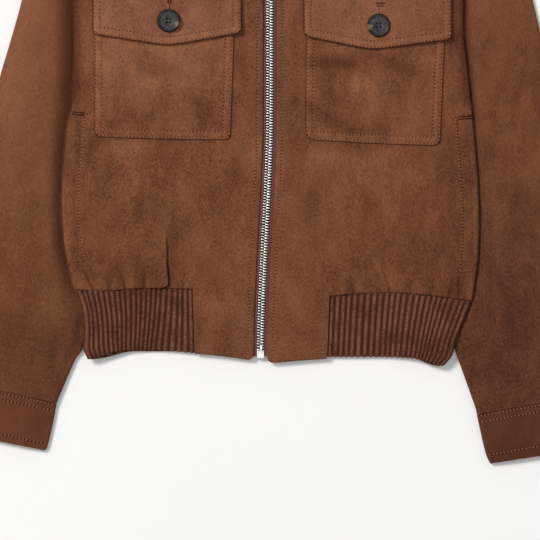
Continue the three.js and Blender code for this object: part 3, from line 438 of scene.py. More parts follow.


# signed distance to the right of a line, and how far along it as a share of its length, which callers use to fade
# its ends
def offLine(x, up, line):
    best = np.full(np.shape(x), 1e9)
    signed = np.zeros(np.shape(x))
    share = np.zeros(np.shape(x))
    lengths = [math.dist(p, q) for p, q in zip(line, line[1:])]
    total, done = sum(lengths), 0
    for (p, q), length in zip(zip(line, line[1:]), lengths):
        dx, dy = (q[0] - p[0]) / length, (q[1] - p[1]) / length
        t = np.clip((x - p[0]) * dx + (up - p[1]) * dy, 0, length)
        ox, oy = x - p[0] - t * dx, up - p[1] - t * dy
        distance = np.hypot(ox, oy)
        side = np.sign(ox * dy - oy * dx)
        closer = distance < best
        best = np.where(closer, distance, best)
        signed = np.where(closer, distance * side, signed)
        share = np.where(closer, (done + t) / total, share)
        done += length
    return signed, share


def frontFold(x, up):
    rise = np.zeros(np.shape(x))
    for across, low, high, lean, width, height in frontGathers:
        share = (up - low) / (high - low)
        length = smooth(-0.25, 0.05, share) * (1 - smooth(0.15, 1, share))
        rise += 2.2 * height * length * np.exp(-(((x - across - lean * share) / width) ** 2))
    for tuck in frontTucks:
        off, share = offLine(x, up, tuck["line"])
        off = off * tuck["side"]            # positive on the side that lies on top
        fade = smooth(0, 0.35, share) if tuck["line"][0][1] > tuck["line"][-1][1] else smooth(0, 0.3,
            1 - share)
        reach = np.where(off >= 0,
            np.exp(-off / tuck["reach"]) * smooth(0, tuck["soft"], off + tuck["soft"] / 2),
            -0.5 * np.exp(off / (1.8 + tuck["soft"])))
        rise += tuck["height"] * fade * reach
    swell = 0.8 * rolling(x, up, 46, 3, 1.5) + 0.42 * rolling(x + 0.3 * up, up, 21, 5,
        1.7) + 0.12 * rolling(x, up, 9, 8)
    rise += swell * smooth(64, 90, up) * smooth(0, 20, fromSideEdge(x, up))
    return rise


# the front's edge stands a little proud along a welt pocket, sunk where it is sewn
def besideWelt(x, up):
    rise = np.zeros(np.shape(x))
    for side in (-1, 1):
        low, high = welts[side]
        lengthwise = smooth(low - 2, low + 4,
            up) * (1 - smooth(high - 4, high + 2, up)) * (np.sign(x) == side)
        inward = np.abs(edgeAcross(side, up)) - np.abs(x) - welts["far"]
        if side < 0:
            rise -= 1.1 * lengthwise * np.exp(-(((inward + 1.5) / 5) ** 2))
        rise += lengthwise * (0.55 * np.exp(-(((inward - 2.4) / 1.9) ** 2)) - 0.3
            * np.exp(-(((inward - sewn["welt"]) / 0.7) ** 2)))
    return rise


# the fronts' outer surface, with the rib seam's puckers and the sewn line beside the zip
def frontTop(x, up, plain=False):
    half = halfHeight(x, up)
    turned = rounded(np.maximum(fromSideEdge(x, up), 0), half) * rounded(np.maximum(shoulderUp(x) - up, 0),
        half)
    top = middle(x, up) + half * turned
    if plain:
        return top
    side = bySide(x - zipAcross(up), -1, 1)
    seam = np.where(side < 0, ribSeamUp(-1, x), ribSeamUp(1, x))
    beyondTab = np.where(side < 0, x < ribTab[-1], x > ribTab[1])
    above = up - seam
    pucker = 0.45 * np.sin(x * 0.92 + 1.6 * np.sin(x * 0.21)) * np.exp(-np.maximum(above, 0) / 6)
    top = top + turned * (frontFold(x, up) + np.where(beyondTab, pucker, 0))
    fromZip = np.abs(x - zipAcross(up)) - zipSlit
    top = top - 0.4 * np.exp(-(((fromZip - sewn["zip"]) / 0.9) ** 2)) + 0.12 * np.sin(up
        * 1.75) * np.exp(-(((fromZip - 3.2) / 2.6) ** 2))
    sunk = 1.6 * np.exp(-((np.maximum(fromSideEdge(x, up) - 2, 0) / 8) ** 2)) * smooth(258, 276,
        up) * bySide(x, 1, 0.4)
    return top + besideWelt(x, up) - sunk * turned


def softEdge(distance, thick, radius=1.6):
    return thick * (0.3 + 0.7 * rounded(np.maximum(distance, 0), radius))


print("tables ready")


# materials

def nodeGroup(name, inputs, outputs):
    group = bpy.data.node_groups.new(name, "ShaderNodeTree")
    for label, kind, value in inputs:
        socket = group.interface.new_socket(name=label, in_out="INPUT", socket_type=kind)
        if value is not None:
            socket.default_value = value
    for label, kind in outputs:
        group.interface.new_socket(name=label, in_out="OUTPUT", socket_type=kind)
    return group, group.nodes.new("NodeGroupInput"), group.nodes.new("NodeGroupOutput")


def add(tree, kind, inputs=None, **settings):
    node = tree.nodes.new(kind)
    for key, value in settings.items():
        setattr(node, key, value)
    for key, value in (inputs or {}).items():
        if isinstance(value, bpy.types.NodeSocket):
            tree.links.new(value, node.inputs[key])
        else:
            node.inputs[key].default_value = value
    return node


def noise(tree, vector, scale, detail=3.0, roughness=0.5, distortion=0.0):
    values = {"Vector": vector, "Scale": scale, "Detail": detail, "Roughness": roughness,
        "Distortion": distortion}
    return add(tree, "ShaderNodeTexNoise", values).outputs["Fac"]


def stretched(tree, vector, scale, turn=0.0):
    return add(tree, "ShaderNodeMapping",
        {"Vector": vector, "Scale": scale, "Rotation": (0, 0, turn)}).outputs["Vector"]


def math2(tree, operation, a, b=0.0, c=0.0):
    return add(tree, "ShaderNodeMath", {0: a, 1: b, 2: c}, operation=operation).outputs[0]


def remap(tree, value, fromLow, fromHigh, low=0.0, high=1.0):
    values = {"Value": value, "From Min": fromLow, "From Max": fromHigh, "To Min": low, "To Max": high}
    return add(tree, "ShaderNodeMapRange", values, interpolation_type="SMOOTHSTEP").outputs[0]


def blendColor(tree, factor, a, b, mode="MIX"):
    node = add(tree, "ShaderNodeMix", {0: factor, 6: a, 7: b}, data_type="RGBA", blend_type=mode)
    return node.outputs[2]


# suede: patches where the nap lies another way, faint strokes and a fine grain, lighter towards the top and darker
# towards the bottom as a painted fall-off of the light, and darkened by painted shade read from the piece's map
def makeNapAndShadeGroup():
    inputs = [("Vector", "NodeSocketVector", None), ("Dark", "NodeSocketColor", (0.08, 0.03, 0.015, 1)),
              ("Light", "NodeSocketColor", (0.2, 0.09, 0.05, 1)), ("Brushed", "NodeSocketFloat", 1.0),
              ("Grain", "NodeSocketFloat", 1.0), ("Fade", "NodeSocketFloat", 0.0),
              ("Shade", "NodeSocketFloat", 0.0)]
    outputs = [("Color", "NodeSocketColor"), ("Height", "NodeSocketFloat"), ("Roughness", "NodeSocketFloat")]
    group, given, out = nodeGroup("suedeNapAndPaintedShade", inputs, outputs)
    v = given.outputs["Vector"]
    broad = remap(group, noise(group, v, 9, 1, 0.4), 0.3, 0.7)
    patches = remap(group, noise(group, stretched(group, v, (1.0, 0.7, 1.0), 0.5), 25, 2, 0.45, 0.7), 0.28,
        0.72)
    strokes = remap(group, noise(group, stretched(group, v, (1.0, 0.4, 1.0), -0.15), 90, 5, 0.62, 0.4),
        0.22, 0.78)
    grain = noise(group, stretched(group, v, (1.0, 0.7, 1.0), 0.3), 500, 3, 0.7)
    fleck = noise(group, v, 1000, 2, 0.6)
    level = math2(group, "MULTIPLY_ADD", broad, 0.25,
        math2(group, "MULTIPLY_ADD", patches, 0.3, math2(group, "MULTIPLY", strokes, 0.45)))
    level = math2(group, "MULTIPLY_ADD", math2(group, "SUBTRACT", level, 0.5), given.outputs["Brushed"], 0.5)
    fine = math2(group, "MULTIPLY_ADD", grain, 0.8, math2(group, "MULTIPLY_ADD", fleck, 0.6, -0.7))
    level = math2(group, "MULTIPLY_ADD", fine, given.outputs["Grain"], level)
    # painted fall-off of the light: lighter towards the top, darker towards the bottom
    downward = add(group, "ShaderNodeSeparateXYZ", {0: v}).outputs[1]
    level = math2(group, "MULTIPLY_ADD", math2(group, "ADD", downward, 0.1), given.outputs["Fade"], level)
    color = blendColor(group, add(group, "ShaderNodeClamp", {0: level}).outputs[0], given.outputs["Dark"],
        given.outputs["Light"])
    hue = remap(group, noise(group, v, 24, 3, 0.55), 0.35, 0.65)
    tint = blendColor(group, hue, (1.02, 0.985, 0.97, 1), (0.985, 1.01, 1.0, 1))
    color = blendColor(group, 1.0, color, tint, "MULTIPLY")
    # painted shade from the piece's map darkens the colour, the red a little less than green and blue
    paintedShadeTint = add(group, "ShaderNodeVectorMath", {0: (0.5, 0.6, 0.63), "Scale": given.outputs["Shade"]},
        operation="SCALE").outputs[0]
    keep = add(group, "ShaderNodeVectorMath", {0: (1, 1, 1), 1: paintedShadeTint}, operation="SUBTRACT").outputs[0]
    color = add(group, "ShaderNodeVectorMath", {0: color, 1: keep}, operation="MULTIPLY").outputs[0]
    group.links.new(color, out.inputs["Color"])
    height = math2(group, "MULTIPLY_ADD", grain, 0.6, math2(group, "MULTIPLY", strokes, 0.4))
    group.links.new(height, out.inputs["Height"])
    group.links.new(remap(group, level, 0, 1, 0.97, 0.88), out.inputs["Roughness"])
    return group


napAndShadeGroup = makeNapAndShadeGroup()


def newMaterial(name):
    material = bpy.data.materials.new(name)
    material.use_nodes = True
    tree = material.node_tree
    shader = tree.nodes["Principled BSDF"]
    coords = tree.nodes.new("ShaderNodeTexCoord")
    return material, tree, shader, coords.outputs["Object"]


def srgb(r, g, b):
    linear = [((c / 255 + 0.055) / 1.055) ** 2.4 if c > 10 else c / 255 / 12.92 for c in (r, g, b)]
    return (*linear, 1)


def suedeMaterial(name, dark, light, brushed=1.0, grain=1.5, fade=0.0):
    material, tree, shader, coords = newMaterial(name)
    nap = add(tree, "ShaderNodeGroup", node_tree=napAndShadeGroup)
    tree.links.new(coords, nap.inputs["Vector"])
    chart = add(tree, "ShaderNodeSeparateXYZ", {0: add(tree, "ShaderNodeUVMap").outputs[0]})
    tree.links.new(chart.outputs[0], nap.inputs["Shade"])
    nap.inputs["Dark"].default_value = srgb(*dark)
    nap.inputs["Light"].default_value = srgb(*light)
    nap.inputs["Brushed"].default_value = brushed
    nap.inputs["Grain"].default_value = grain
    # fade sets the painted fall-off of the light, darker towards the bottom
    nap.inputs["Fade"].default_value = fade
    tree.links.new(nap.outputs["Color"], shader.inputs["Base Color"])
    tree.links.new(nap.outputs["Roughness"], shader.inputs["Roughness"])
    bump = add(tree, "ShaderNodeBump",
        {"Strength": 0.35, "Distance": 0.0006, "Height": nap.outputs["Height"]})
    tree.links.new(bump.outputs[0], shader.inputs["Normal"])
    shader.inputs["Specular IOR Level"].default_value = 0.12
    shader.inputs["Sheen Weight"].default_value = 0.1
    shader.inputs["Sheen Roughness"].default_value = 0.55
    shader.inputs["Sheen Tint"].default_value = srgb(190, 130, 96)
    return material


suedeFront = suedeMaterial("suedeFront", (75, 40, 26), (138, 89, 62), 0.7, 1.8)
suedeFlap = suedeMaterial("suedeFlap", (84, 48, 33), (146, 96, 70), 0.7, 1.7, 0.5)
# left and right copies: the right-hand ones are darker, painted shade where the light falls off to the right
suedePatchLeft = suedeMaterial("suedePatchLeft", (79, 44, 29), (143, 93, 66), 0.8, 1.7, 0.5)
suedePatchRightShaded = suedeMaterial("suedePatchRightShaded", (73, 40, 26), (135, 86, 60), 0.85, 1.7, 0.5)
suedeSleeveLeft = suedeMaterial("suedeSleeveLeft", (84, 48, 31), (131, 84, 57), 0.5, 1.6, 1.6)
suedeSleeveRightShaded = suedeMaterial("suedeSleeveRightShaded", (68, 38, 25), (123, 76, 52), 0.7, 1.7, 1.6)
suedeCuffLeft = suedeMaterial("suedeCuffLeft", (76, 42, 28), (110, 65, 44), 0.6, 0.8)
suedeCuffRightShaded = suedeMaterial("suedeCuffRightShaded", (64, 36, 24), (97, 58, 40), 0.6, 0.8)


# knit: two columns of loops along each rib, from the rib's own map (u counts ribs, v counts rows), with painted
# shade in the valleys between the ribs
def knitMaterial(name, dark, light, deep):
    material, tree, shader, coords = newMaterial(name)
    parts = add(tree, "ShaderNodeSeparateXYZ", {0: add(tree, "ShaderNodeUVMap").outputs[0]})
    fuzz = noise(tree, coords, 600, 3, 0.75)
    soft = remap(tree, noise(tree, coords, 55, 3, 0.6), 0.3, 0.7)
    column = math2(tree, "FRACT", math2(tree, "MULTIPLY", parts.outputs[0], 2.0))
    fromColumn = math2(tree, "ABSOLUTE", math2(tree, "SUBTRACT", column, 0.5))
    row = math2(tree, "MULTIPLY_ADD", fromColumn, -1.2,
        math2(tree, "MULTIPLY_ADD", fuzz, 0.7, parts.outputs[1]))
    loop = remap(tree, math2(tree, "PINGPONG", row, 0.5), 0.08, 0.34)
    level = math2(tree, "MULTIPLY_ADD", loop, 0.5,
        math2(tree, "MULTIPLY_ADD", fuzz, 4.4, math2(tree, "MULTIPLY_ADD", soft, 0.5, -2.3)))
    color = blendColor(tree, add(tree, "ShaderNodeClamp", {0: level}).outputs[0], srgb(*dark), srgb(*light))
    fromRidge = math2(tree, "ABSOLUTE", math2(tree, "SUBTRACT", math2(tree, "FRACT", parts.outputs[0]), 0.5))
    serrated = math2(tree, "MULTIPLY_ADD", loop, -0.07, math2(tree, "MULTIPLY_ADD", fuzz, 0.6, fromRidge))
    # painted shade: the deep colour fills the valleys between the ribs
    color = blendColor(tree, remap(tree, serrated, 0.37, 0.69), color, srgb(*deep))
    tree.links.new(color, shader.inputs["Base Color"])
    height = math2(tree, "MULTIPLY_ADD", loop, 0.8, math2(tree, "MULTIPLY", fuzz, 1.6))
    bump = add(tree, "ShaderNodeBump", {"Strength": 0.9, "Distance": 0.0011, "Height": height})
    tree.links.new(bump.outputs[0], shader.inputs["Normal"])
    shader.inputs["Roughness"].default_value = 0.95
    shader.inputs["Specular IOR Level"].default_value = 0.08
    shader.inputs["Sheen Weight"].default_value = 0.15
    shader.inputs["Sheen Roughness"].default_value = 0.5
    shader.inputs["Sheen Tint"].default_value = srgb(170, 110, 84)
    return material


# the third colour is the painted shade of the valleys between the ribs
knitRib = knitMaterial("knitRib", (84, 48, 35), (158, 104, 81), (72, 41, 29))


def threadMaterial(name, dark, light, roughness=0.7):
    material, tree, shader, coords = newMaterial(name)
    twist = noise(tree, coords, 1100, 2, 0.6)
    tree.links.new(blendColor(tree, twist, srgb(*dark), srgb(*light)), shader.inputs["Base Color"])
    bump = add(tree, "ShaderNodeBump", {"Strength": 0.4, "Distance": 0.0002, "Height": twist})
    tree.links.new(bump.outputs[0], shader.inputs["Normal"])
    shader.inputs["Roughness"].default_value = roughness
    shader.inputs["Specular IOR Level"].default_value = 0.1
    return material


threadBrown = threadMaterial("threadBrown", (128, 80, 60), (172, 118, 92))
# painted shade: near-black for the inside of needle holes and grooves
threadHoleShade = threadMaterial("needleHoleShade", (50, 18, 9), (68, 28, 15), 0.95)
threadRed = threadMaterial("threadRed", (84, 42, 31), (112, 62, 48))
threadDark = threadMaterial("threadDark", (26, 20, 18), (52, 40, 34))


def tapeMaterial():
    material, tree, shader, coords = newMaterial("zipTape")
    waves = add(tree, "ShaderNodeTexWave",
        {"Vector": coords, "Scale": 320.0, "Distortion": 0.6, "Detail": 1.0}, bands_direction="Y")
    fuzz = noise(tree, coords, 1200, 2, 0.6)
    level = math2(tree, "MULTIPLY_ADD", waves.outputs["Fac"], 0.55, math2(tree, "MULTIPLY", fuzz, 0.5))
    tree.links.new(blendColor(tree, level, srgb(80, 47, 41), srgb(130, 86, 76)), shader.inputs["Base Color"])
    bump = add(tree, "ShaderNodeBump", {"Strength": 0.5, "Distance": 0.0003, "Height": level})
    tree.links.new(bump.outputs[0], shader.inputs["Normal"])
    shader.inputs["Roughness"].default_value = 0.9
    shader.inputs["Specular IOR Level"].default_value = 0.15
    return material


zipTape = tapeMaterial()
zipCord = threadMaterial("zipCord", (16, 11, 9), (34, 22, 18), 0.95)


# polished nickel with faint wear
def metalMaterial():
    material, tree, shader, coords = newMaterial("zipNickel")
    worn = noise(tree, coords, 260, 3, 0.6)
    tree.links.new(blendColor(tree, worn, srgb(205, 203, 198), srgb(246, 245, 241)),
        shader.inputs["Base Color"])
    tree.links.new(remap(tree, worn, 0.3, 0.7, 0.2, 0.36), shader.inputs["Roughness"])
    bump = add(tree, "ShaderNodeBump", {"Strength": 0.08, "Distance": 0.0002, "Height": worn})
    tree.links.new(bump.outputs[0], shader.inputs["Normal"])
    shader.inputs["Metallic"].default_value = 1.0
    return material


zipNickel = metalMaterial()


# dark horn: clouded grey-black with a warm streak near one edge of each button, and painted shade, near-black, on
# the outer slope all round
def hornMaterial():
    material, tree, shader, coords = newMaterial("hornButton")
    cloud = noise(tree, stretched(tree, coords, (1.0, 1.8, 1.0), 0.6), 170, 4, 0.6, 0.9)
    base = blendColor(tree, remap(tree, cloud, 0.3, 0.7), srgb(24, 25, 25), srgb(58, 61, 59))
    flat = stretched(tree, coords, (1.0, 1.0, 0.0))
    centres = [((pockets[side]["button"][0] + 2) / 1000, (pockets[side]["button"][1] - 265) / 1000,
        0) for side in (-1, 1)]
    away = [add(tree, "ShaderNodeVectorMath", {0: flat, 1: point},
        operation="DISTANCE").outputs["Value"] for point in centres]
    # painted shade: near-black on each button's outer slope
    outward = math2(tree, "MINIMUM", *away)
    base = blendColor(tree, remap(tree, outward, 0.0107, 0.0113), base, srgb(13, 12, 12))
    frayed = math2(tree, "MULTIPLY", noise(tree, coords, 300, 3, 0.6), 0.005)
    for point in ((-0.0953, 0.0868, 0), (0.1061, 0.0836, 0)):
        away = add(tree, "ShaderNodeVectorMath", {0: flat, 1: point}, operation="DISTANCE").outputs["Value"]
        near = remap(tree, math2(tree, "ADD", away, frayed), 0.0035, 0.0062, 0.8, 0.0)
        base = blendColor(tree, near, base, srgb(134, 112, 84))
    tree.links.new(base, shader.inputs["Base Color"])
    tree.links.new(remap(tree, cloud, 0.2, 0.8, 0.34, 0.46), shader.inputs["Roughness"])
    shader.inputs["Specular IOR Level"].default_value = 0.35
    return material


hornButton = hornMaterial()
print("materials ready")


# sewing thread: stitches along a line, with painted shade in the needle holes between them

stitch = {"pitch": 3.85, "zipPitch": 3.5, "length": 2.2, "width": 1.0, "rise": 0.5, "hole": 1.0}


# points every pitch along a line, with the direction of the line at each
def stepsAlong(line, pitch):
    line = np.asarray(line, float)
    lengths = np.hypot(*np.diff(line, axis=0).T)
    travelled = np.concatenate([[0], np.cumsum(lengths)])
    at = np.arange(pitch / 2, travelled[-1], pitch)
    points = np.stack([np.interp(at, travelled, line[:, k]) for k in (0, 1)], -1)
    ahead = np.stack([np.interp(at + 0.4, travelled, line[:, k]) for k in (0, 1)], -1)
    behind = np.stack([np.interp(at - 0.4, travelled, line[:, k]) for k in (0, 1)], -1)
    way = ahead - behind
    return points, way / np.maximum(np.hypot(way[:, 0], way[:, 1]), 1e-6)[:, None]


def sewnLines(name, lines, height, pitch=None, threads=None):
    points, faces, kinds = [], [], []
    ring = 6
    turns = np.linspace(0, 2 * math.pi, ring, endpoint=False)
    for line in lines:
        spots, ways = stepsAlong(line, pitch or stitch["pitch"])
        if not len(spots):
            continue
        jitter = np.random.default_rng(len(points) + 11).uniform(-0.06, 0.06, (len(spots), 2))
        spots = spots + jitter
        start = spots - ways * stitch["length"] / 2
        stop = spots + ways * stitch["length"] / 2
        z = [height(p[:, 0], p[:, 1]) for p in (start, spots, stop)]
        for n in range(len(spots)):
            first = len(points)
            w = ways[n]
            side = np.array([-w[1], w[0]])
            for share, size, where, lift in ((-0.5, 0.55, z[0][n], -0.1), (-0.22, 1, z[1][n], 0.06),
                (0.22, 1, z[1][n], 0.06), (0.5, 0.55, z[2][n], -0.1)):
                centre = spots[n] + w * share * stitch["length"]
                for turn in turns:
                    offset = side * math.cos(turn) * size * stitch["width"] / 2
                    up = math.sin(turn) * size * stitch["rise"] * 0.8
                    points.append((centre[0] + offset[0], centre[1] + offset[1], where + lift + up))
            for level in range(3):
                for k in range(ring):
                    a, b = first + level * ring + k, first + level * ring + (k + 1) % ring
                    faces.append((a, b, b + ring, a + ring))
                    kinds.append(0)
            faces.append(tuple(first + k for k in reversed(range(ring))))
            faces.append(tuple(first + 3 * ring + k for k in range(ring)))
            kinds += [0, 0]
            centre = spots[n] + w * (pitch or stitch["pitch"]) / 2
            z0 = float(height(centre[0], centre[1]))
            base = len(points)
            for k, turn in enumerate(turns):
                around = side * math.cos(turn) * stitch["hole"] * 0.95 + w * math.sin(turn) * stitch["hole"]
                points.append((centre[0] + around[0], centre[1] + around[1], z0 + 0.1))
            for k, turn in enumerate(turns):
                around = side * math.cos(turn) * stitch["hole"] * 0.5 + w * math.sin(turn) * stitch["hole"] * 0.5
                points.append((centre[0] + around[0], centre[1] + around[1], z0 - 0.3))
            faces.append(tuple(base + k for k in range(ring)))
            faces.append(tuple(base + ring + k for k in reversed(range(ring))))
            kinds += [1, 1]
            for k in range(ring):
                a, b = base + k, base + (k + 1) % ring
                faces.append((b, a, a + ring, b + ring))
                kinds.append(1)
    data = np.array(points)
    piece = meshObject(name, place(data[:, 0], data[:, 1], data[:, 2]), faces)
    finished(piece, threads or [threadBrown, threadHoleShade])
    piece.data.polygons.foreach_set("material_index", kinds)
    return piece


# body: two fronts and the back

sideSteps = [(0, 2.4), (0.12, 2.42), (0.45, 2.5), (1.0, 2.65), (1.8, 2.95), (2.8, 3.5), (4.2, 4.7),
    (6.5, 6.8)]
frontPanel = {"tabColumns": 26, "sideColumns": 112, "tabRows": 30, "lowRows": 44, "highRows": 126,
    "cut": (0.225, 0.62)}


# one layer of the body, at a distance from its folded side and shoulder
def layer(x, up, fromSide, fromTop, upper, outer):
    half = halfHeight(x, up)
    rim = half if outer else np.maximum(half - cloth["wall"], 0.2)
    inset = 0 if outer else cloth["wall"]
    turned = rounded(np.maximum(fromSide - inset, 0), rim) * rounded(np.maximum(fromTop - inset, 0), rim)
    away = 0.02 + (rim - 0.02) * turned
    return middle(x, up) + (away if upper else -away)


def frontGrids(side):
    zipSteps = [0, 0.2, 0.5, 1.0, 1.7, 2.6, 3.6, 4.6, 5.2, 5.7, 6.2, 6.9, 8.0]
    tabSteps = [0, 0.5, 1.2, 2.2, 3.6]
    lowSteps = [0, 0.2, 0.5, 1.0, 1.7, 2.6, 3.7, 5.0, 6.5]
    highSteps = [0, 0.12, 0.45, 1.0, 1.8, 2.8, 4.2, 6.5]
    neckShare = (75 - zipSlit) / (226 - zipSlit)

    def columnsAt(up, which):
        up = np.asarray(up, float)
        zipEdge = zipAcross(up) + side * zipSlit
        edge = edgeAcross(side, up)
        reach = mix(edge, side * 226, smooth(380, 535, up))
        guide = mix(tabSeamAt(side, up), mix(zipEdge, reach, neckShare), smooth(90, 535, up))
        tab = spaced(0, np.abs(guide - zipEdge), zipSteps, tabSteps, frontPanel["tabColumns"])
        steps = [s[0] if which == "outer" else s[1] for s in sideSteps]
        rest = spaced(0, np.abs(edge - guide), [0, 0.6, 1.6, 3.2], steps, frontPanel["sideColumns"])
        return np.concatenate([zipEdge + side * tab, guide + side * rest[1:]])

    tabCount = len(columnsAt(300, "outer")) - (3 + frontPanel["sideColumns"] + len(sideSteps))

    def columnPlace(up, which):
        # up has a value for each column
        grid = columnsAt(up, which)
        return grid[np.arange(grid.shape[0]), np.arange(grid.shape[0])]

    def build(which):
        outer = which == "outer"
        topX = columnsAt(572, which)
        count = len(topX)
        k = np.arange(count)
        high = np.where(k < tabCount, frontNeckUp(topX), shoulderUp(topX))
        lowX = columnsAt(72, which)
        low = ribSeamUp(side, lowX) + 0.15
        low[:tabCount] = ribSeamUp(side, ribTab[side]) + 0.15
        onShoulder = smooth(76, 81, np.abs(topX))
        tops = [mix(d, d if outer else d + 2.4 * (1 - d / 8), onShoulder) for d in highSteps]
        bands = spaced(low, low + 58, lowSteps, [0], frontPanel["lowRows"])
        rest = spaced(low + 58, high, [0], tops, frontPanel["highRows"])
        ups = np.concatenate([bands, rest[1:]])
        hemX = columnsAt(20, which)
        corner = 5.0
        fromZip = np.abs(hemX - (zipAcross(20) + side * zipSlit))
        drop = np.where(fromZip < corner,
            corner - np.sqrt(np.clip(corner ** 2 - (corner - fromZip) ** 2, 0, None)), 0)
        hem = along(tabHem[side], 1, np.clip(hemX, *sorted((tabHem[side][0][0], tabHem[side][-1][0])))) + drop
        tab = spaced(hem, low, [0, 0.2, 0.5, 1.0, 1.7, 2.8, 4.5], [0, 1.5], frontPanel["tabRows"])[:-1]
        ups = np.concatenate([tab, ups])
        xs = np.stack([columnPlace(row, which) for row in ups])
        fromSide = np.where(k[None] >= count - len(sideSteps), fromSideEdge(xs, ups), 1000)
        rowFromTop = np.where((onShoulder > 0.5)[None], high[None] - ups, 1000)
        z = layer(xs, ups, fromSide, rowFromTop, True, outer)
        if outer:
            inTab = k[None] < tabCount
            fromZip = np.abs(xs - zipAcross(ups)) - zipSlit
            fromHem = np.where(inTab, ups - hem[None], 1000)
            fromSeam = np.where(inTab,
                0.7 + np.abs(xs - tabSeamAt(side, ups)) + np.maximum(ups - low[None], 0), ups - low[None])
            distance = np.minimum(fromHem, fromSeam)
            drop = np.maximum((cloth["wall"] - softEdge(distance, cloth["wall"], 1.9)) * 0.8,
                (cloth["wall"] - softEdge(fromZip, cloth["wall"], 1.2)) * 0.35)
            z = frontTop(xs, ups) - drop
        return place(xs, ups, z)

    outerGrid, innerGrid = build("outer"), build("inner")
    rows, columns = outerGrid.shape[:2]
    tabRowCount = 7 + frontPanel["tabRows"] + 2 - 1
    present = np.ones((rows - 1, columns - 1), bool)
    present[:tabRowCount, tabCount - 1:] = False
    return outerGrid, innerGrid, present


# table coordinates of a grid of points
def spots(grid):
    return grid[..., 0] * 1000 + layout["centreAcross"], grid[..., 1] * 1000 + layout["centreUp"]


for side, label in ((-1, "left"), (1, "right")):
    outer, inner, present = frontGrids(side)
    x, up = spots(outer)
    # painted shade: darker in the hollow along the side edge near the shoulder, in a line along the left tuck and
    # in a softer band on one side of it
    paintedEdgeShade = np.exp(-((fromSideEdge(x, up) / 8) ** 2)) * smooth(255, 275, up) * bySide(x, 1.0, 0.8)
    fromTuck, share = offLine(x, up, frontTucks[0]["line"])
    paintedEdgeShade += 1.1 * np.exp(-((fromTuck / 0.9) ** 2)) * smooth(0.25, 0.6,
        share) + 0.35 * np.exp(-np.abs(fromTuck) / 5) * (fromTuck < 0) * smooth(0.1, 0.6, share)
    panel = wallMesh("front" + label.capitalize(), outer, inner, present=present,
                     chart=shadeChart(napAndPaintedShade("front" + label.capitalize(), x, up) + paintedEdgeShade))
    finished(panel, suedeFront, ["front_" + label])
    sharpen(panel, 50)
    frontArea(side)
print("fronts made")

backPanel = {"columns": 90, "rows": 110, "cut": (0.455, 0.55)}


def backGrids():
    highSteps = [0, 0.12, 0.45, 1.0, 1.8, 2.8, 4.2, 6.5]

    def columnsAt(up, which):
        left, right = edgeAcross(-1, up), edgeAcross(1, up)
        steps = [s[0] if which == "outer" else s[1] for s in sideSteps]
        return left + spaced(0, right - left, steps, steps, backPanel["columns"])

    def build(which):
        outer = which == "outer"
        topX = columnsAt(572.0, which)
        count = len(topX)
        k = np.arange(count)
        onShoulder = smooth(74, 81, np.abs(topX))
        high = np.where(np.abs(topX) < 75, backNeckUp(np.clip(topX, -75, 75)), shoulderUp(topX))
        low = backSeamUp(columnsAt(72.0, which)) + 0.15
        tops = [mix(d, d if outer else d + 2.4 * (1 - d / 8), onShoulder) for d in highSteps]
        ups = spaced(low, high, [0, 0.5, 1.2, 2.4], tops, backPanel["rows"])
        xs = np.stack([columnsAt(row, which)[k, k] for row in ups])
        atSide = (k < len(sideSteps)) | (k >= count - len(sideSteps))
        fromSide = np.where(atSide[None], fromSideEdge(xs, ups), 1000)
        rowFromTop = np.where((onShoulder > 0.5)[None], high[None] - ups, 1000)
        z = layer(xs, ups, fromSide, rowFromTop, False, outer)
        if outer:
            hollow = 0.35 * smooth(0.2, 1, underside(xs, ups) / 6) * (1 + rolling(xs, ups, 40, 21))
            z = z + hollow * smooth(2, 20, fromSide)
        return place(xs, ups, z)

    return build("outer"), build("inner")


outer, inner = backGrids()
panel = wallMesh("backPanel", outer, inner)
finished(panel, suedeFront, ["back"])
sharpen(panel, 50)
backArea()
print("back made")


# knitted rib: ribs of different widths that lean and thin out as in real knitting

hemRib = {"ribs": {-1: 21, 1: 23}, "perRib": 10, "rise": 1.25, "rows": 30, "knitRows": 38,
    "cut": (0.7, 0.076)}
# how far the ribs sweep at the hem, by their share from the tab, and the edge they follow
ribSweep = {
    -1: [(0, 0), (0.12, -5), (0.21, -9), (0.36, -9.6), (0.49, -7.2), (0.63, -4.5), (0.76, -1.9),
    (0.89, -0.5), (1, 0)],
    1: [(0, 0), (0.2, 3.5), (0.36, 6.3), (0.51, 7.5), (0.7, 7.2), (0.84, 3.4), (1, 0)],
}
ribStraight = [(0, -203.4, 211), (0.5, -198, 198), (1, -195, 186)]


def ribShape(part):
    return np.clip(np.sin(np.clip(part, 0, 1) * math.pi), 0, 1) ** 1.4


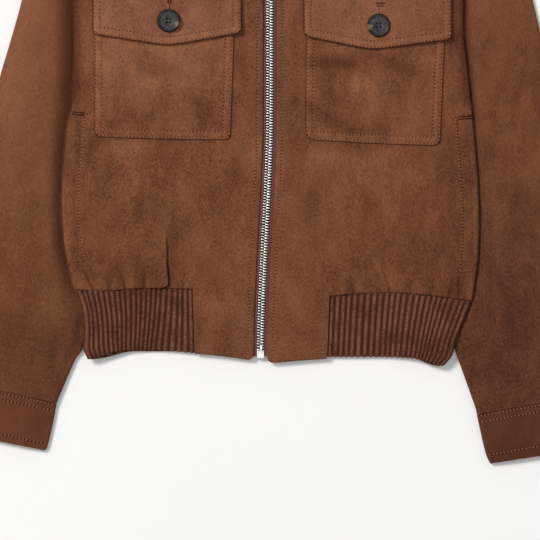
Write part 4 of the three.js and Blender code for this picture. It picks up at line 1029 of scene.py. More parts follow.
def ribGrids():
    per = hemRib["perRib"]
    steps = [s for s in sideSteps]
    bands = []
    for side in (-1, 1):
        ribs = hemRib["ribs"][side]
        shares = np.linspace(0, 1, ribs * per + 1)
        rng = np.random.default_rng(31 + side)
        widths = rng.uniform(0.85, 1.15, ribs)
        bounds = np.concatenate([[0], np.cumsum(widths) / widths.sum()])
        index = np.minimum((shares * ribs).astype(int), ribs - 1)
        part = shares * ribs - index
        warped = bounds[index] + (bounds[index + 1] - bounds[index]) * part
        flat = [dict(side=side, upper=True, share=w, rib=float(ribShape(p)), step=None, u=float(i + p))
                for w, p, i in zip(warped, part, index)]
        flat += [dict(side=side, upper=True, share=1, rib=0.6 if s[0] > 2 else 0.25, step=n,
            u=ribs + 1 - s[0] / 6.5) for n, s in reversed(list(enumerate(steps)))][1:]
        bands.append(flat)
    under = [dict(side=-1, upper=False, share=1, rib=0.3, step=n, u=ribs + 1 + s[0] / 6.5) for n,
        s in enumerate(steps)][1:]
    for k in range(1, 130):
        under.append(dict(side=0, upper=False, share=k / 130, rib=float(ribShape((k % 4) / 4)) * 0.35,
            step=None, u=ribs + 2 + k / 4))
    under += [dict(side=1, upper=False, share=1, rib=0.3, step=n, u=ribs + 1 + s[0] / 6.5) for n,
        s in reversed(list(enumerate(steps)))][:-1]
    stops = bands[0] + under + bands[1][::-1]
    rows = spaced(0.0, 66.0, [0, 0.4, 1.1, 2.2], [0, 0.3, 0.8, 1.6, 2.8], hemRib["rows"]) / 66

    def build(which):
        outer = which == "outer"
        grid = np.zeros((len(rows), len(stops), 3))
        left = [along(ribSide, 1, d) for d in rows]
        right = [along(ribSide, 2, d) for d in rows]
        straight = {s: along(ribStraight, 1 if s < 0 else 2, rows) for s in (-1, 1)}
        for j, stop in enumerate(stops):
            inset = steps[-1][0 if outer else 1]
            fromSide = 1000
            if stop["side"] == 0:
                x = mix(np.array(left) + inset, np.array(right) - inset, stop["share"])
                seam = backSeamUp(x) - 0.3
                share = stop["share"]
                hem = backHemUp(share)
            else:
                s = stop["side"]
                edge = np.array(left if s < 0 else right)
                ribHeight = 70 * (1 - rows)
                if stop["step"] is None:
                    share = stop["share"]
                    sweep = along(ribSweep[s], 1, share) * rows ** 1.1
                    x = mix(tabSeamAt(s, ribHeight) + s * 0.15, straight[s] - s * inset, share) + sweep
                    x = x + (edge - straight[s]) * share ** 9
                else:
                    fromSide = steps[stop["step"]][0 if outer else 1]
                    x = edge - s * fromSide
                seam = along(ribFront, 1 if s < 0 else 3, stop["share"]) - 0.1
                hem = along(ribFront, 2 if s < 0 else 4, stop["share"])
            up = mix(seam, hem, rows)
            half = cloth["wall"] + 0.4
            rim = half if outer else half - cloth["wall"]
            turned = rounded(max(fromSide - (0 if outer else cloth["wall"]), 0), rim)
            away = rim * turned
            fromEnds = np.minimum(rows, 1 - rows) * 66
            if outer:
                gather = 1 - 0.75 * (1 - smooth(0, 5, rows * 66)) - 0.35 * (1 - smooth(0, 2.5,
                    (1 - rows) * 66))
                away = away + (stop["rib"] - 0.45) * hemRib["rise"] * gather * (1 if stop["step"] is None else 0.5)
                away = away - 1.5 * (1 - rounded(fromEnds, 1.6))
                if stop["step"] is None and stop["upper"]:
                    away = away + 0.25 * rolling(x, up, 25, 77)
            hemX = x
            if stop["upper"] or stop["side"] == 0:
                up = np.where(rows > 0.999, up + (0.5 - stop["rib"]) * 1.3, up)
            mid = underside(hemX, up) + half
            z = mid + (away if stop["upper"] else -away)
            grid[:, j] = place(hemX, up, np.maximum(z, 0.02))
        return grid

    return build("outer"), build("inner"), stops, rows


outer, inner, stops, rows = ribGrids()
chart = np.stack(np.meshgrid([stop["u"] for stop in stops], rows * hemRib["knitRows"]), -1)
panel = wallMesh("hemRib", outer, inner, chart=chart)
finished(panel, knitRib, ["hem_rib"])
sharpen(panel, 70)
ribArea()
print("rib made")


# sleeves and cuffs: flattened tubes

sleevePiece = {"stations": 150, "inner": 8, "across": 52, "cut": {-1: (0.37, 0.62), 1: (0.39, 0.63)}}
cuffPiece = {"stations": 26, "inner": 10, "across": 44, "cut": (0.245, 0.056)}
# creases of the sleeves: points of the line, height, reach
sleeveCreases = {
    -1: [([(-231, 5), (-227, -14), (-224, -36)], 0.9, 4), ([(-245, -40), (-252, -22), (-262, -2)], 0.5, 6),
         ([(-262, 300), (-285, 265), (-300, 240)], 0.7, 9),
         ([(-238, 210), (-262, 190), (-290, 182)], 0.6, 10),
         ([(-300, 60), (-275, 40), (-250, 36)], 0.6, 9), ([(-236, 120), (-250, 95), (-262, 60)], 0.5, 8),
         ([(-250, 430), (-236, 400), (-228, 360)], 0.7, 8)],
    1: [([(224, 2), (232, -18), (236, -40)], 0.7, 5), ([(262, 250), (284, 222), (304, 210)], 0.6, 10),
        ([(246, 150), (262, 128), (290, 120)], 0.5, 9), ([(300, 20), (276, 6), (256, 8)], 0.5, 8),
        ([(250, 430), (238, 400), (230, 360)], 0.7, 8), ([(236, 96), (248, 70), (254, 40)], 0.5, 7)],
}


# how the sleeve swells beside the body: a dip against the left edge, a full roll close to the right one
besideBody = {-1: {"rise": 9.0, "reach": 10, "fall": (34, 84)},
    1: {"rise": 4.6, "reach": 2.6, "fall": (8, 56)}}


def sleeveDetail(side, x, up):
    rise = 0.9 * rolling(x, up, 52, 40 + side, 1.9) + 0.45 * rolling(x - 0.4 * up, up, 24, 44 + side,
        1.5) + 0.14 * rolling(x, up, 10, 47)
    for line, height, reach in sleeveCreases[side]:
        off, share = offLine(x, up, line)
        fade = smooth(0, 0.3, share) * (1 - smooth(0.75, 1, share))
        rise += 0.9 * height * fade * np.where(off > 0, np.exp(-off / reach), -0.5 * np.exp(off / 3))
    beyond = np.abs(x) - np.abs(outlineAcross(side, up))
    b = besideBody[side]
    reach = b["reach"] + (5 * smooth(260, 350, up) if side > 0 else 2 * smooth(230, 300, up))
    roll = b["rise"] * (1 - np.exp(-((np.maximum(beyond, 0) / reach) ** 1.7))) * (1 - 0.8
        * smooth(*b["fall"], beyond))
    return rise + roll * smooth(-10, 40, up)


def tubeGrids(rows, side, piece, fullness, detail, guided):
    last = len(rows) - 1
    table = [(n, *row) for n, row in enumerate(rows)]
    n = spaced(0.0, 1.0, [0, 0.002, 0.005], [0, 0.002, 0.005], piece["stations"]) * last
    inX, inUp, outX, outUp = (along(table, k, n) for k in (1, 2, 3, 4))
    width = np.hypot(outX - inX, outUp - inUp)
    guide = np.clip(np.abs(outlineAcross(side, inUp)) - np.abs(inX), 16,
        90) if guided else np.full_like(width, 30.0)

    def build(which):
        outer = which == "outer"
        wallSteps = [s[0] if outer else s[1] for s in sideSteps]
        hidden = spaced(np.zeros_like(width), guide, wallSteps, [0, 0.5, 1.2, 2.2], piece["inner"])
        shown = spaced(guide, width, [0, 0.4, 0.8, 1.2, 1.7, 2.3, 3.0, 4.0, 5.4], wallSteps, piece["across"])
        d = np.concatenate([hidden, shown[1:]])
        share = d / width
        x, up = mix(inX, outX, share), mix(inUp, outUp, share)
        edge = np.minimum(d, width - d)
        half = cloth["wall"] + (cloth["pressed"] + (cloth["loft"] - cloth["pressed"])
            * fullness(np.abs(x), up, d, width)) / 2
        rim = half if outer else half - cloth["wall"]
        turned = rounded(np.maximum(edge - (0 if outer else cloth["wall"]), 0), rim)
        beyond = np.abs(x) - np.abs(outlineAcross(side, up)) + 60 * smooth(-5, 25, -up)
        clear = smooth(0.5, 3.4, beyond) if guided else 1
        top = half + rim * turned + detail(side, x, up) * smooth(0, 14, edge) * clear
        bottom = half - rim * turned
        ring = np.concatenate([np.stack([x, up, top], -1), np.stack([x, up, bottom], -1)[1:-1][::-1]])
        ring = np.swapaxes(ring, 0, 1)
        return place(ring[..., 0], ring[..., 1], np.maximum(ring[..., 2], 0.01))

    return build("outer"), build("inner")


def sleeveFullness(side):
    def fullness(x, up, fromInner, width):
        clear = smooth(14, 50, x - np.abs(outlineAcross(side, up)))
        past = smooth(0, 45, -up) * smooth(2, 38, fromInner)
        return np.maximum(clear, past) * smooth(0, 30, width - fromInner)
    return fullness


def cuffFullness(x, up, fromInner, width):
    return 0.6 * smooth(4, 30, fromInner) * smooth(0, 30, width - fromInner)


def cuffDetail(side, x, up):
    return 0.35 * rolling(x, up, 34, 60 + side) + 0.12 * rolling(x, up, 13, 63)


for side, label in ((-1, "left"), (1, "right")):
    outer, inner = tubeGrids(sleeveRows[side], side, sleevePiece, sleeveFullness(side), sleeveDetail, True)
    x, up = spots(outer)
    beyond = np.abs(x) - np.abs(outlineAcross(side, up))
    # painted shade: the left sleeve darker in the valley beside the body's edge, the right sleeve in the narrow
    # slot beside it
    high = smooth(240, 290, up)
    paintedValleyShade = mix(0.75, 1.1, high) * (1 - smooth(3, mix(19, 27, high), beyond)) if side < 0 else mix(0.2, 1.0,
        high) * (1 - smooth(2, 9, beyond))
    paintedValleyShade = paintedValleyShade * smooth(60, 110, up)
    tube = wallMesh("sleeve" + label.capitalize(), outer, inner, around=True,
                    chart=shadeChart(napAndPaintedShade("sleeve" + label.capitalize(), x, up) + paintedValleyShade))
    finished(tube, suedeSleeveLeft if side < 0 else suedeSleeveRightShaded, ["sleeve_" + label])
    sharpen(tube, 60)
    outer, inner = tubeGrids(cuffRows[side], side, cuffPiece, cuffFullness, cuffDetail, False)
    tube = wallMesh("cuff" + label.capitalize(), outer, inner, around=True)
    finished(tube, suedeCuffLeft if side < 0 else suedeCuffRightShaded, ["cuff_" + label])
    sharpen(tube, 60)
print("sleeves and cuffs made")


# patch pockets, flaps and welts, each on the front beneath it

patchPiece = {"edges": [0, 0.12, 0.35, 0.7, 1.1, 1.5, 1.9, 2.3, 2.9, 3.8, 5.0, 6.3, 7.4, 8.1, 8.6, 9.1, 9.6,
    10.3, 11.6, 13.6],
              "columns": 34, "rows": 32, "cut": (0.156, 0.15), "flapCut": (0.164, 0.066)}


def roundedEdge(across, above, corner):
    inCorner = (across < corner) & (above < corner)
    return np.where(inCorner, corner - np.hypot(corner - across, corner - above), np.minimum(across, above))


def patchSides(p, up):
    rise = np.clip((up - p["upIn"]) / (p["top"] - p["upIn"]), 0, 1)
    return mix(p["bottomIn"], p["topIn"], rise), mix(p["bottomOut"], p["topOut"], rise)


def patchLow(p, share):
    return mix(p["upIn"], p["upOut"], share) - 1.0 * np.sin(math.pi * np.clip(share, 0, 1)) ** 0.7


def patchEdge(side, x, up):
    p = pockets[side]["patch"]
    inner, outer = patchSides(p, up)
    share = np.clip((x - inner) / (outer - inner), 0, 1)
    across = np.minimum(share, 1 - share) * np.abs(outer - inner)
    return roundedEdge(across, up - patchLow(p, share), p["corner"])


def flapLow(f, x):
    end, endUp = (np.where(np.abs(x) < abs(f["tip"]), f[a], f[b]) for a,
        b in (("inner", "outer"), ("upIn", "upOut")))
    reach = np.abs(end - f["tip"])
    return mix(f["upTip"], endUp, np.hypot(np.abs(x - f["tip"]), 8) / reach - 8 / reach)


def flapEdge(side, x, up):
    f = pockets[side]["flap"]
    across = np.minimum(np.abs(x - f["inner"]), np.abs(f["outer"] - x))
    return roundedEdge(across, up - flapLow(f, x), f["corner"])


def patchOutline(p):
    shares = (1, 0.9, 0.75, 0.5, 0.25, 0.1, 0)
    low = [(mix(p["bottomIn"], p["bottomOut"], s), float(patchLow(p, s))) for s in shares]
    corners = [(p["topOut"], p["top"]), *low, (p["topIn"], p["top"])]
    return corners if p["topOut"] < p["topIn"] else corners[::-1]


def flapOutline(f):
    left, right = sorted((f["inner"], f["outer"]))
    xs = np.array([left, *np.linspace(left + 11, right - 11, 26), right])
    low = flapLow(f, xs)
    return [(left, f["top"]), *zip(xs, low), (right, f["top"])]


# the outer face of a sewn-on piece: thin at its edge, sunk along its two rows of stitches, full between them
def sewnProfile(distance, x, up, wall, seed):
    thick = wall * (0.3 + 0.7 * rounded(np.maximum(distance, 0), 1.3))
    near = -0.55 * np.exp(-(((distance - sewn["near"]) / 0.75) ** 2))
    far = -0.6 * np.exp(-(((distance - sewn["far"]) / 0.85) ** 2))
    between = (0.5 + 0.25 * rolling(x, up, 6, seed)) * np.exp(-(((distance - 5.2) / 2.3) ** 2))
    inside = (0.5 + 0.55 * rolling(x, up, 30, seed + 1, 1.3) + 0.2
        * rolling(x, up, 12, seed + 2)) * smooth(9, 30, distance)
    return thick + near + far + between + inside


def patchTop(side, x, up):
    return frontTop(x, up) + cloth["layerGap"] + sewnProfile(patchEdge(side, x, up), x, up,
        cloth["pocketWall"], 51 + side)


def flapBase(side, x, up):
    top = pockets[side]["patch"]["top"]
    overPatch = cloth["pocketWall"] + cloth["layerGap"]
    return frontTop(x, up) + cloth["layerGap"] + overPatch * (1 - smooth(top + 6, top + 18, up))


def flapTop(side, x, up):
    f = pockets[side]["flap"]
    distance = flapEdge(side, x, up)
    lifted = 2.3 * (1 - smooth(0, 16, up - flapLow(f, x)))
    return flapBase(side, x, up) + lifted + sewnProfile(distance, x, up, cloth["pocketWall"], 57 + side)


def fittedGrid(p, sides, low, top):
    rise = patchPiece["edges"]
    count = len(rise) * 2 + patchPiece["columns"]
    inner, outer = sides(p["upIn"])
    width = float(abs(outer - inner))
    across = spaced(0.0, width, rise, rise, patchPiece["columns"])
    share = across / width
    edge = np.minimum(across, width - across)
    corner = p["corner"]
    drop = np.where(edge < corner, corner - np.sqrt(np.clip(corner ** 2 - (corner - edge) ** 2, 0, None)), 0)
    lowest = low(share) + drop
    ups = spaced(lowest, np.full(count, float(top)), rise, [0, 1.0], patchPiece["rows"])
    inner, outer = sides(ups)
    return mix(inner, outer, share[None]), ups


for side, label in ((-1, "left"), (1, "right")):
    p, f = pockets[side]["patch"], pockets[side]["flap"]
    x, up = fittedGrid(p, lambda up, p=p: patchSides(p, up), lambda share, p=p: patchLow(p, share), p["top"])
    base = frontTop(x, up) + cloth["layerGap"] * smooth(-1, 3, patchEdge(side, x, up)) + 0.03
    patch = wallMesh("pocket" + label.capitalize(), place(x, up, patchTop(side, x, up)), place(x, up, base),
                     chart=shadeChart(napAndPaintedShade("pocket" + label.capitalize(), x, up)
                     + edgeShadowAndRimHighlight(patchEdge(side, x, up), 1.2, 0.9)))
    finished(patch, suedePatchLeft if side < 0 else suedePatchRightShaded, ["pocket_" + label])
    sharpen(patch, 60)
    flapSides = lambda up, f=f: (np.full(np.shape(up), float(f["inner"])),
        np.full(np.shape(up), float(f["outer"])))
    x, up = fittedGrid(f, flapSides, lambda share, f=f: flapLow(f, mix(f["inner"], f["outer"], share)),
        f["top"])
    top = flapTop(side, x, up)
    lifted = 2.2 * (1 - smooth(0, 16, up - flapLow(f, x)))
    # the painted shadow under the flap's edge widens towards its outer end
    wide = 1.35 + 0.6 * smooth(f["tip"], max(f["inner"], f["outer"]), x)
    tone = napAndPaintedShade("flap" + label.capitalize(), x, up) + edgeShadowAndRimHighlight(flapEdge(side, x, up), 1.6, wide)
    flap = wallMesh("flap" + label.capitalize(), place(x, up, top),
        place(x, up, flapBase(side, x, up) + lifted), chart=shadeChart(tone))
    finished(flap, suedeFlap, ["flap_" + label])
    sharpen(flap, 60)
print("pockets made")

def weltEdge(side, x, up):
    low, high = welts[side]
    across = np.abs(edgeAcross(side, up)) - np.abs(x)
    sides = np.minimum(across - welts["near"], welts["far"] - across)
    return np.minimum(sides, np.minimum(up - low, high - up))


def weltTop(side, x, up):
    distance = weltEdge(side, x, up)
    outward = np.abs(edgeAcross(side, up)) - np.abs(x) - welts["near"]
    inward = welts["far"] - welts["near"] - outward
    taper = smooth(-1, 6, inward) if side < 0 else smooth(0, 7, outward)
    rise = (welts["wall"] - 0.35) * rounded(np.maximum(distance, 0), 1.0) * taper
    return frontTop(x, up) + 0.12 + rise + 0.15 * rolling(x, up, 14, 66) * smooth(2, 5, distance)


for side, label in ((-1, "left"), (1, "right")):
    low, high = welts[side]
    edge = [0, 0.15, 0.4, 0.8, 1.2, 1.7, 2.2, 2.9]
    ups = spaced(float(low), float(high), edge, edge, 80)
    across = spaced(float(welts["near"]), float(welts["far"]), edge, edge, 6)
    up, off = np.meshgrid(ups, across, indexing="ij")
    x = edgeAcross(side, up) - side * off
    welt = wallMesh("welt" + label.capitalize(), place(x, up, weltTop(side, x, up)),
        place(x, up, frontTop(x, up) + 0.05),
                    chart=shadeChart(napAndPaintedShade("welt" + label.capitalize(), x, up)))
    finished(welt, suedeFront, ["welt_" + label])
    sharpen(welt, 60)
print("welts made")


# collar: a stand round the neck and the fall that lies over it

collarRows = [
    (0, 9.5, 10.5, 562, 55, 494, 0), (1, 21.4, 21, 569, 67, 502, 0), (2, 34.8, 32.5, 579, 78, 518, 0),
    (3, 48.2, 43, 592, 89, 543, 0), (4, 61.6, 55, 610, 98, 571, 0), (5, 69, 63, 623, 104.5, 588, 0),
    (6, 71.5, 66, 630, 108, 600.5, 30), (7, 71.5, 66, 630, 108, 600.5, 60),
    (8, 71.5, 66, 630, 108, 600.5, 90),
    (9, 71.5, 66, 630, 108, 600.5, 120), (10, 71.5, 66, 630, 108, 600.5, 150),
    (11, 68, 62, 632, 102, 593, 180),
    (12, 45, 43, 634, 72, 586, 180), (13, 30, 28, 635.5, 48, 582, 180), (14, 15, 14, 636.5, 23, 580, 180),
    (15, 0, 0, 637, 0, 579, 180),
]
collarPiece = {"perRow": 6, "standRows": 8, "fallRows": 18, "standCut": (0.35, 0.05),
    "fallCut": (0.46, 0.095), "bodyUp": 598}
# section of the fall where it rolls over the stand: past the stand's edge and off its face, outer then inner
collarRoll = [(3.4, -1.4, 1.4, -1.4), (3.3, -0.4, 1.35, -0.8), (3.0, 0.7, 1.2, 0), (2.5, 1.6, 1.0, 0.2),
    (1.7, 2.1, 0.7, 0.35), (0.9, 2.4, 0.3, 0.45), (0, 2.5, 0, 0.5)]


def collarColumns():
    stops = np.linspace(0, 15, 15 * collarPiece["perRow"] + 1)
    values = [np.interp(stops, [r[0] for r in collarRows], [r[c] for r in collarRows]) for c in range(1, 7)]
    smoothed = [np.convolve(np.pad(v, 3, mode="reflect", reflect_type="odd"), np.ones(7) / 7,
        "valid") for v in values[:5]]
    neckX, rollX, rollUp, leafX, leafUp = smoothed
    turn = values[5]
    half = np.stack([neckX, rollX, rollUp, leafX, leafUp, turn, np.full_like(turn, -1)], -1)
    other = half[:-1][::-1].copy()
    other[:, 6] = 1
    return np.concatenate([half, other])


collarTable = collarColumns()


def collarGrid(x, up, radius, share):
    turn = np.radians(collarTable[:, 5])
    sign = collarTable[:, 6]
    outX, outUp = mix(0.96, 0.25, share), mix(0.27, 0.968, share)
    size = np.hypot(outX, outUp)
    bend = radius * np.sin(turn)
    z = middle(x, np.minimum(up, collarPiece["bodyUp"])) + radius * np.cos(turn)
    return place(sign * (x + outX / size * bend), up + outUp / size * bend, np.maximum(z, 0.02))


def collarHalf(x, up):
    return halfHeight(x, np.minimum(up, collarPiece["bodyUp"]))


def neckSeamUp():
    turn, neckX = collarTable[:, 5], collarTable[:, 0]
    front = np.where(neckX < 74, frontNeckUp(np.minimum(neckX, 75)), 611) + 0.3
    back = backNeckUp(neckX) + 0.3
    up = np.where(turn <= 0, front, np.where(turn >= 180, back, 611.5))
    return up


neckSeam = neckSeamUp()
neckX, rollX, rollUp, leafX, leafUp = (collarTable[:, c] for c in range(5))


def standGrid(deep):
    rows = []
    steps = spaced(0.0, 1.0, [0, 0.02, 0.06], [0, 0.03], collarPiece["standRows"])
    for share in steps:
        x, up = mix(neckX, rollX, share), mix(neckSeam, rollUp, share)
        thin = 0.9 * (1 - rounded(share * 14, 1.6)) if deep == 0 else 0
        rows.append(collarGrid(x, up, collarHalf(x, up) - deep - thin, 0))
    return np.stack(rows)


def fallGrid(outer):
    rows = []
    riseX, riseUp = rollX - neckX, rollUp - neckSeam
    size = np.hypot(riseX, riseUp)
    length = np.hypot(leafX - rollX, leafUp - rollUp)
    shares = spaced(np.zeros_like(length), length, [0], [0, 0.15, 0.4, 0.8, 1.3, 1.9, 2.8, 5.5, 6.4, 7.4],
        collarPiece["fallRows"]) / length
    for n in range(len(collarRoll) - 1 + len(shares)):
        roll = collarRoll[min(n, len(collarRoll) - 1)]
        share = shares[max(0, n - len(collarRoll) + 1)]
        past, off = (roll[0], roll[1]) if outer else (roll[2], roll[3])
        x = mix(rollX, leafX, share) + riseX / size * past
        up = mix(rollUp, leafUp, share) + riseUp / size * past
        fromEdge = (1 - share) * length
        onFront = np.where(collarTable[:, 5] <= 0, 0.3 * smooth(0, 0.4, share), 0)
        swell = 0
        if outer:
            sign = collarTable[:, 6]
            swell = -1.1 * (1 - rounded(fromEdge, 1.6)) - 0.25 * np.exp(-(((fromEdge - 6.4) / 0.9) ** 2))
            swell = swell + (0.6 * rolling(sign * x, up, 38, 71) + 0.5) * smooth(0, 20,
                fromEdge) * smooth(0, 0.3, share) * (collarTable[:, 5] <= 0)
        rows.append(collarGrid(x, up, collarHalf(x, up) + off + onFront + swell, share))
    return np.stack(rows)


stand = wallMesh("collarStand", standGrid(0), standGrid(cloth["wall"]))
finished(stand, suedeFront, ["collar_stand"])
sharpen(stand, 60)
fall = wallMesh("collarFall", fallGrid(True), fallGrid(False))
finished(fall, suedeFront, ["collar_fall"])
sharpen(fall, 60)
print("collar made")


# zip: woven tapes, a chain of teeth, box, slider and pull

zipPiece = {"near": 3.9, "far": 15, "tape": 0.8, "low": 4, "high": 539, "pitch": 2.88, "chainLow": 10.3,
    "chainHigh": 523.2,
            "boxLow": 2, "boxLength": 8, "boxWidth": 7.4, "slider": 523.5, "cut": (0.0126, 0.535)}


def zipLevel(up, off=0.0):
    bulge = 0.9 * smooth(14, 40, up) * (1 - smooth(480, 515, up)) * (1 - smooth(5.4, 7.2, off))
    return middle(zipAcross(up), up) + loft(zipAcross(up), up) / 2 - 0.4 + bulge


for side, label in ((-1, "left"), (1, "right")):
    ups = spaced(float(zipPiece["low"]), float(zipPiece["high"]), [0, 0.5], [0, 0.5], 260)
    across = np.array([2.4, 3.0, 3.4, 4.0, 5.0, 6.2, 7.4, 9.0, 12.0, 15.0])
    up, off = np.meshgrid(ups, across, indexing="ij")
    x = zipAcross(up) + side * off
    cord = 0.55 * np.exp(-(((off - 3.4) / 0.8) ** 2))
    wave = 0.06 * np.sin(up * 2.18) * smooth(3.6, 5, off)
    top = zipLevel(up, off) + cord + wave
    tape = wallMesh("zipTape" + label.capitalize(), place(x, up, top),
        place(x, up, zipLevel(up, off) - zipPiece["tape"]))
    finished(tape, [zipTape, zipCord], ["zip_tape_" + label])
    centres = np.zeros(len(tape.data.polygons) * 3)
    tape.data.polygons.foreach_get("center", centres)
    centres = centres.reshape(-1, 3) * 1000
    inChain = np.abs(centres[:, 0] - 2 - zipAcross(centres[:, 1] + layout["centreUp"])) < 3.95
    tape.data.polygons.foreach_set("material_index", inChain.astype(int))
    sharpen(tape, 60)


# operators act on what is selected, so a new piece starts from an empty selection
def startPiece():
    bpy.ops.object.select_all(action="DESELECT")


def selectFaces(piece, wanted):
    mesh = bmesh.from_edit_mesh(piece.data)
    mesh.select_mode = {"FACE"}
    for face in mesh.faces:
        face.select_set(bool(wanted(face.calc_center_median(), face.normal)))
    mesh.select_flush_mode()
    bmesh.update_edit_mesh(piece.data)


def applyPlace(piece):
    startPiece()
    piece.select_set(True)
    bpy.context.view_layer.objects.active = piece
    bpy.ops.object.transform_apply(location=True, rotation=True, scale=True)
    piece.select_set(False)


def bevelled(piece, width, segments=2, angle=30):
    startPiece()
    piece.select_set(True)
    bpy.context.view_layer.objects.active = piece
    bevel = piece.modifiers.new("bevel", "BEVEL")
    bevel.width = width * 0.001
    bevel.segments = segments
    bevel.limit_method = "ANGLE"
    bevel.angle_limit = math.radians(angle)
    bpy.ops.object.modifier_apply(modifier="bevel")
    piece.select_set(False)


def hardCube(name, size, centre):
    startPiece()
    bpy.ops.mesh.primitive_cube_add(size=1, location=[c * 0.001 for c in centre])
    piece = bpy.context.active_object
    piece.name = name
    piece.scale = [s * 0.001 for s in size]
    applyPlace(piece)
    return piece


# one tooth, its head over the middle line: wide clamp on the tape, narrow neck, rounded head
def toothShape():
    tooth = hardCube("tooth", (2.5, 1.25, 2.0), (2.35, 0, 0))
    bpy.context.view_layer.objects.active = tooth
    tooth.select_set(True)
    bpy.ops.object.mode_set(mode="EDIT")
    selectFaces(tooth, lambda centre, normal: normal.x < -0.9)
    bpy.ops.mesh.extrude_region_move(TRANSFORM_OT_translate={"value": (-0.0005, 0, 0)})
    bpy.ops.transform.resize(value=(1, 0.75, 0.8))
    bpy.ops.mesh.extrude_region_move(TRANSFORM_OT_translate={"value": (-0.0006, 0, 0)})
    bpy.ops.transform.resize(value=(1, 1.05, 0.9))
    bpy.ops.mesh.extrude_region_move(TRANSFORM_OT_translate={"value": (-0.0005, 0, 0)})
    bpy.ops.transform.resize(value=(1, 0.7, 0.6))
    selectFaces(tooth, lambda centre, normal: normal.x > 0.9)
    bpy.ops.transform.resize(value=(1, 0.86, 0.8))
    bpy.ops.object.mode_set(mode="OBJECT")
    bevelled(tooth, 0.22, 2)
    sharpen(tooth, 40)
    return tooth


def copies(name, shape, places, side=1):
    points = np.array([v.co for v in shape.data.vertices])
    faces = [tuple(p.vertices) for p in shape.data.polygons]
    allPoints, allFaces = [], []
    for n, (origin, turn) in enumerate(places):
        c, s = math.cos(turn), math.sin(turn)
        moved = points * [side, 1, 1]
        moved = np.stack([moved[:, 0] * c - moved[:, 1] * s, moved[:, 0] * s + moved[:, 1] * c,
            moved[:, 2]], -1) + origin
        allPoints.append(moved)
        order = (lambda f: f[::-1]) if side < 0 else (lambda f: f)
        allFaces += [tuple(i + n * len(points) for i in order(f)) for f in faces]
    made = meshObject(name, np.concatenate(allPoints), allFaces)
    return made


tooth = toothShape()
for side, label in ((-1, "Left"), (1, "Right")):
    start = zipPiece["chainLow"] + 0.9 + (zipPiece["pitch"] / 2 if side > 0 else 0)
    places = []
    for up in np.arange(start, zipPiece["chainHigh"] - 0.8, zipPiece["pitch"]):
        lean = math.atan2(float(zipAcross(up + 1) - zipAcross(up - 1)), 2)
        places.append((place(zipAcross(up), up, zipLevel(up) + 0.2), -lean))
    row = copies("teeth" + label, tooth, places, side)
    sharpen(row, 40)
    finished(row, zipNickel, ["zip_chain"])
bpy.data.objects.remove(tooth, do_unlink=True)


def zipBox():
    p = zipPiece
    middleUp = p["boxLow"] + p["boxLength"] / 2
    level = float(zipLevel(p["boxLow"])) - 0.4
    centre = (float(zipAcross(p["boxLow"])) + 2, middleUp - 265, level)
    box = hardCube("zipBox", (p["boxWidth"], p["boxLength"], 3.4), centre)
    bpy.context.view_layer.objects.active = box
    box.select_set(True)
    bpy.ops.object.mode_set(mode="EDIT")
    selectFaces(box, lambda centre, normal: normal.z > 0.9)
    bpy.ops.mesh.inset(thickness=0.0009)
    bpy.ops.mesh.extrude_region_move(TRANSFORM_OT_translate={"value": (0, 0, -0.0004)})
    bpy.ops.object.mode_set(mode="OBJECT")
    bevelled(box, 0.5, 3)
    sharpen(box, 40)
    finished(box, zipNickel, ["zip_box"])
    pin = hardCube("zipPin", (2.4, 7.0, 1.7), (centre[0] + 0.6, middleUp - 265 + 6.6, level + 0.8))
    bevelled(pin, 0.5, 3)
    sharpen(pin, 40)
    finished(pin, zipNickel)


zipBox()


def zipSlider():
    base = float(zipLevel(531)) + 0.3
    up = 531 - 265
    x = 2.0
    plate = hardCube("sliderPlate", (10, 15, 1.5), (x, up, base + 0.75))
    bpy.context.view_layer.objects.active = plate
    plate.select_set(True)
    bpy.ops.object.mode_set(mode="EDIT")
    selectFaces(plate, lambda centre, normal: normal.y < -0.9)
    bpy.ops.transform.resize(value=(0.72, 1, 1))
    selectFaces(plate, lambda centre, normal: normal.z > 0.9)
    bpy.ops.mesh.inset(thickness=0.0012)
    bpy.ops.mesh.extrude_region_move(TRANSFORM_OT_translate={"value": (0, 0, -0.0003)})
    bpy.ops.object.mode_set(mode="OBJECT")
    bevelled(plate, 0.5, 3)
    sharpen(plate, 40)
    finished(plate, zipNickel, ["zip_slider"])
    core = hardCube("sliderCore", (6.6, 15, 2.2), (x, up, base - 1.05))
    bevelled(core, 0.4, 2)
    sharpen(core, 40)
    finished(core, zipNickel)
    for part, size, centre in (
        ("sliderBridgeTop", (2.4, 8.4, 1.4), (x, up, base + 1.5 + 2.9)),
        ("sliderBridgeLow", (2.4, 1.7, 2.6), (x, up - 3.35, base + 1.5 + 1.2)),
        ("sliderBridgeHigh", (2.4, 1.7, 2.6), (x, up + 3.35, base + 1.5 + 1.2)),
    ):
        bridge = hardCube(part, size, centre)
        bevelled(bridge, 0.45, 3)
        sharpen(bridge, 40)
        finished(bridge, zipNickel)


zipSlider()


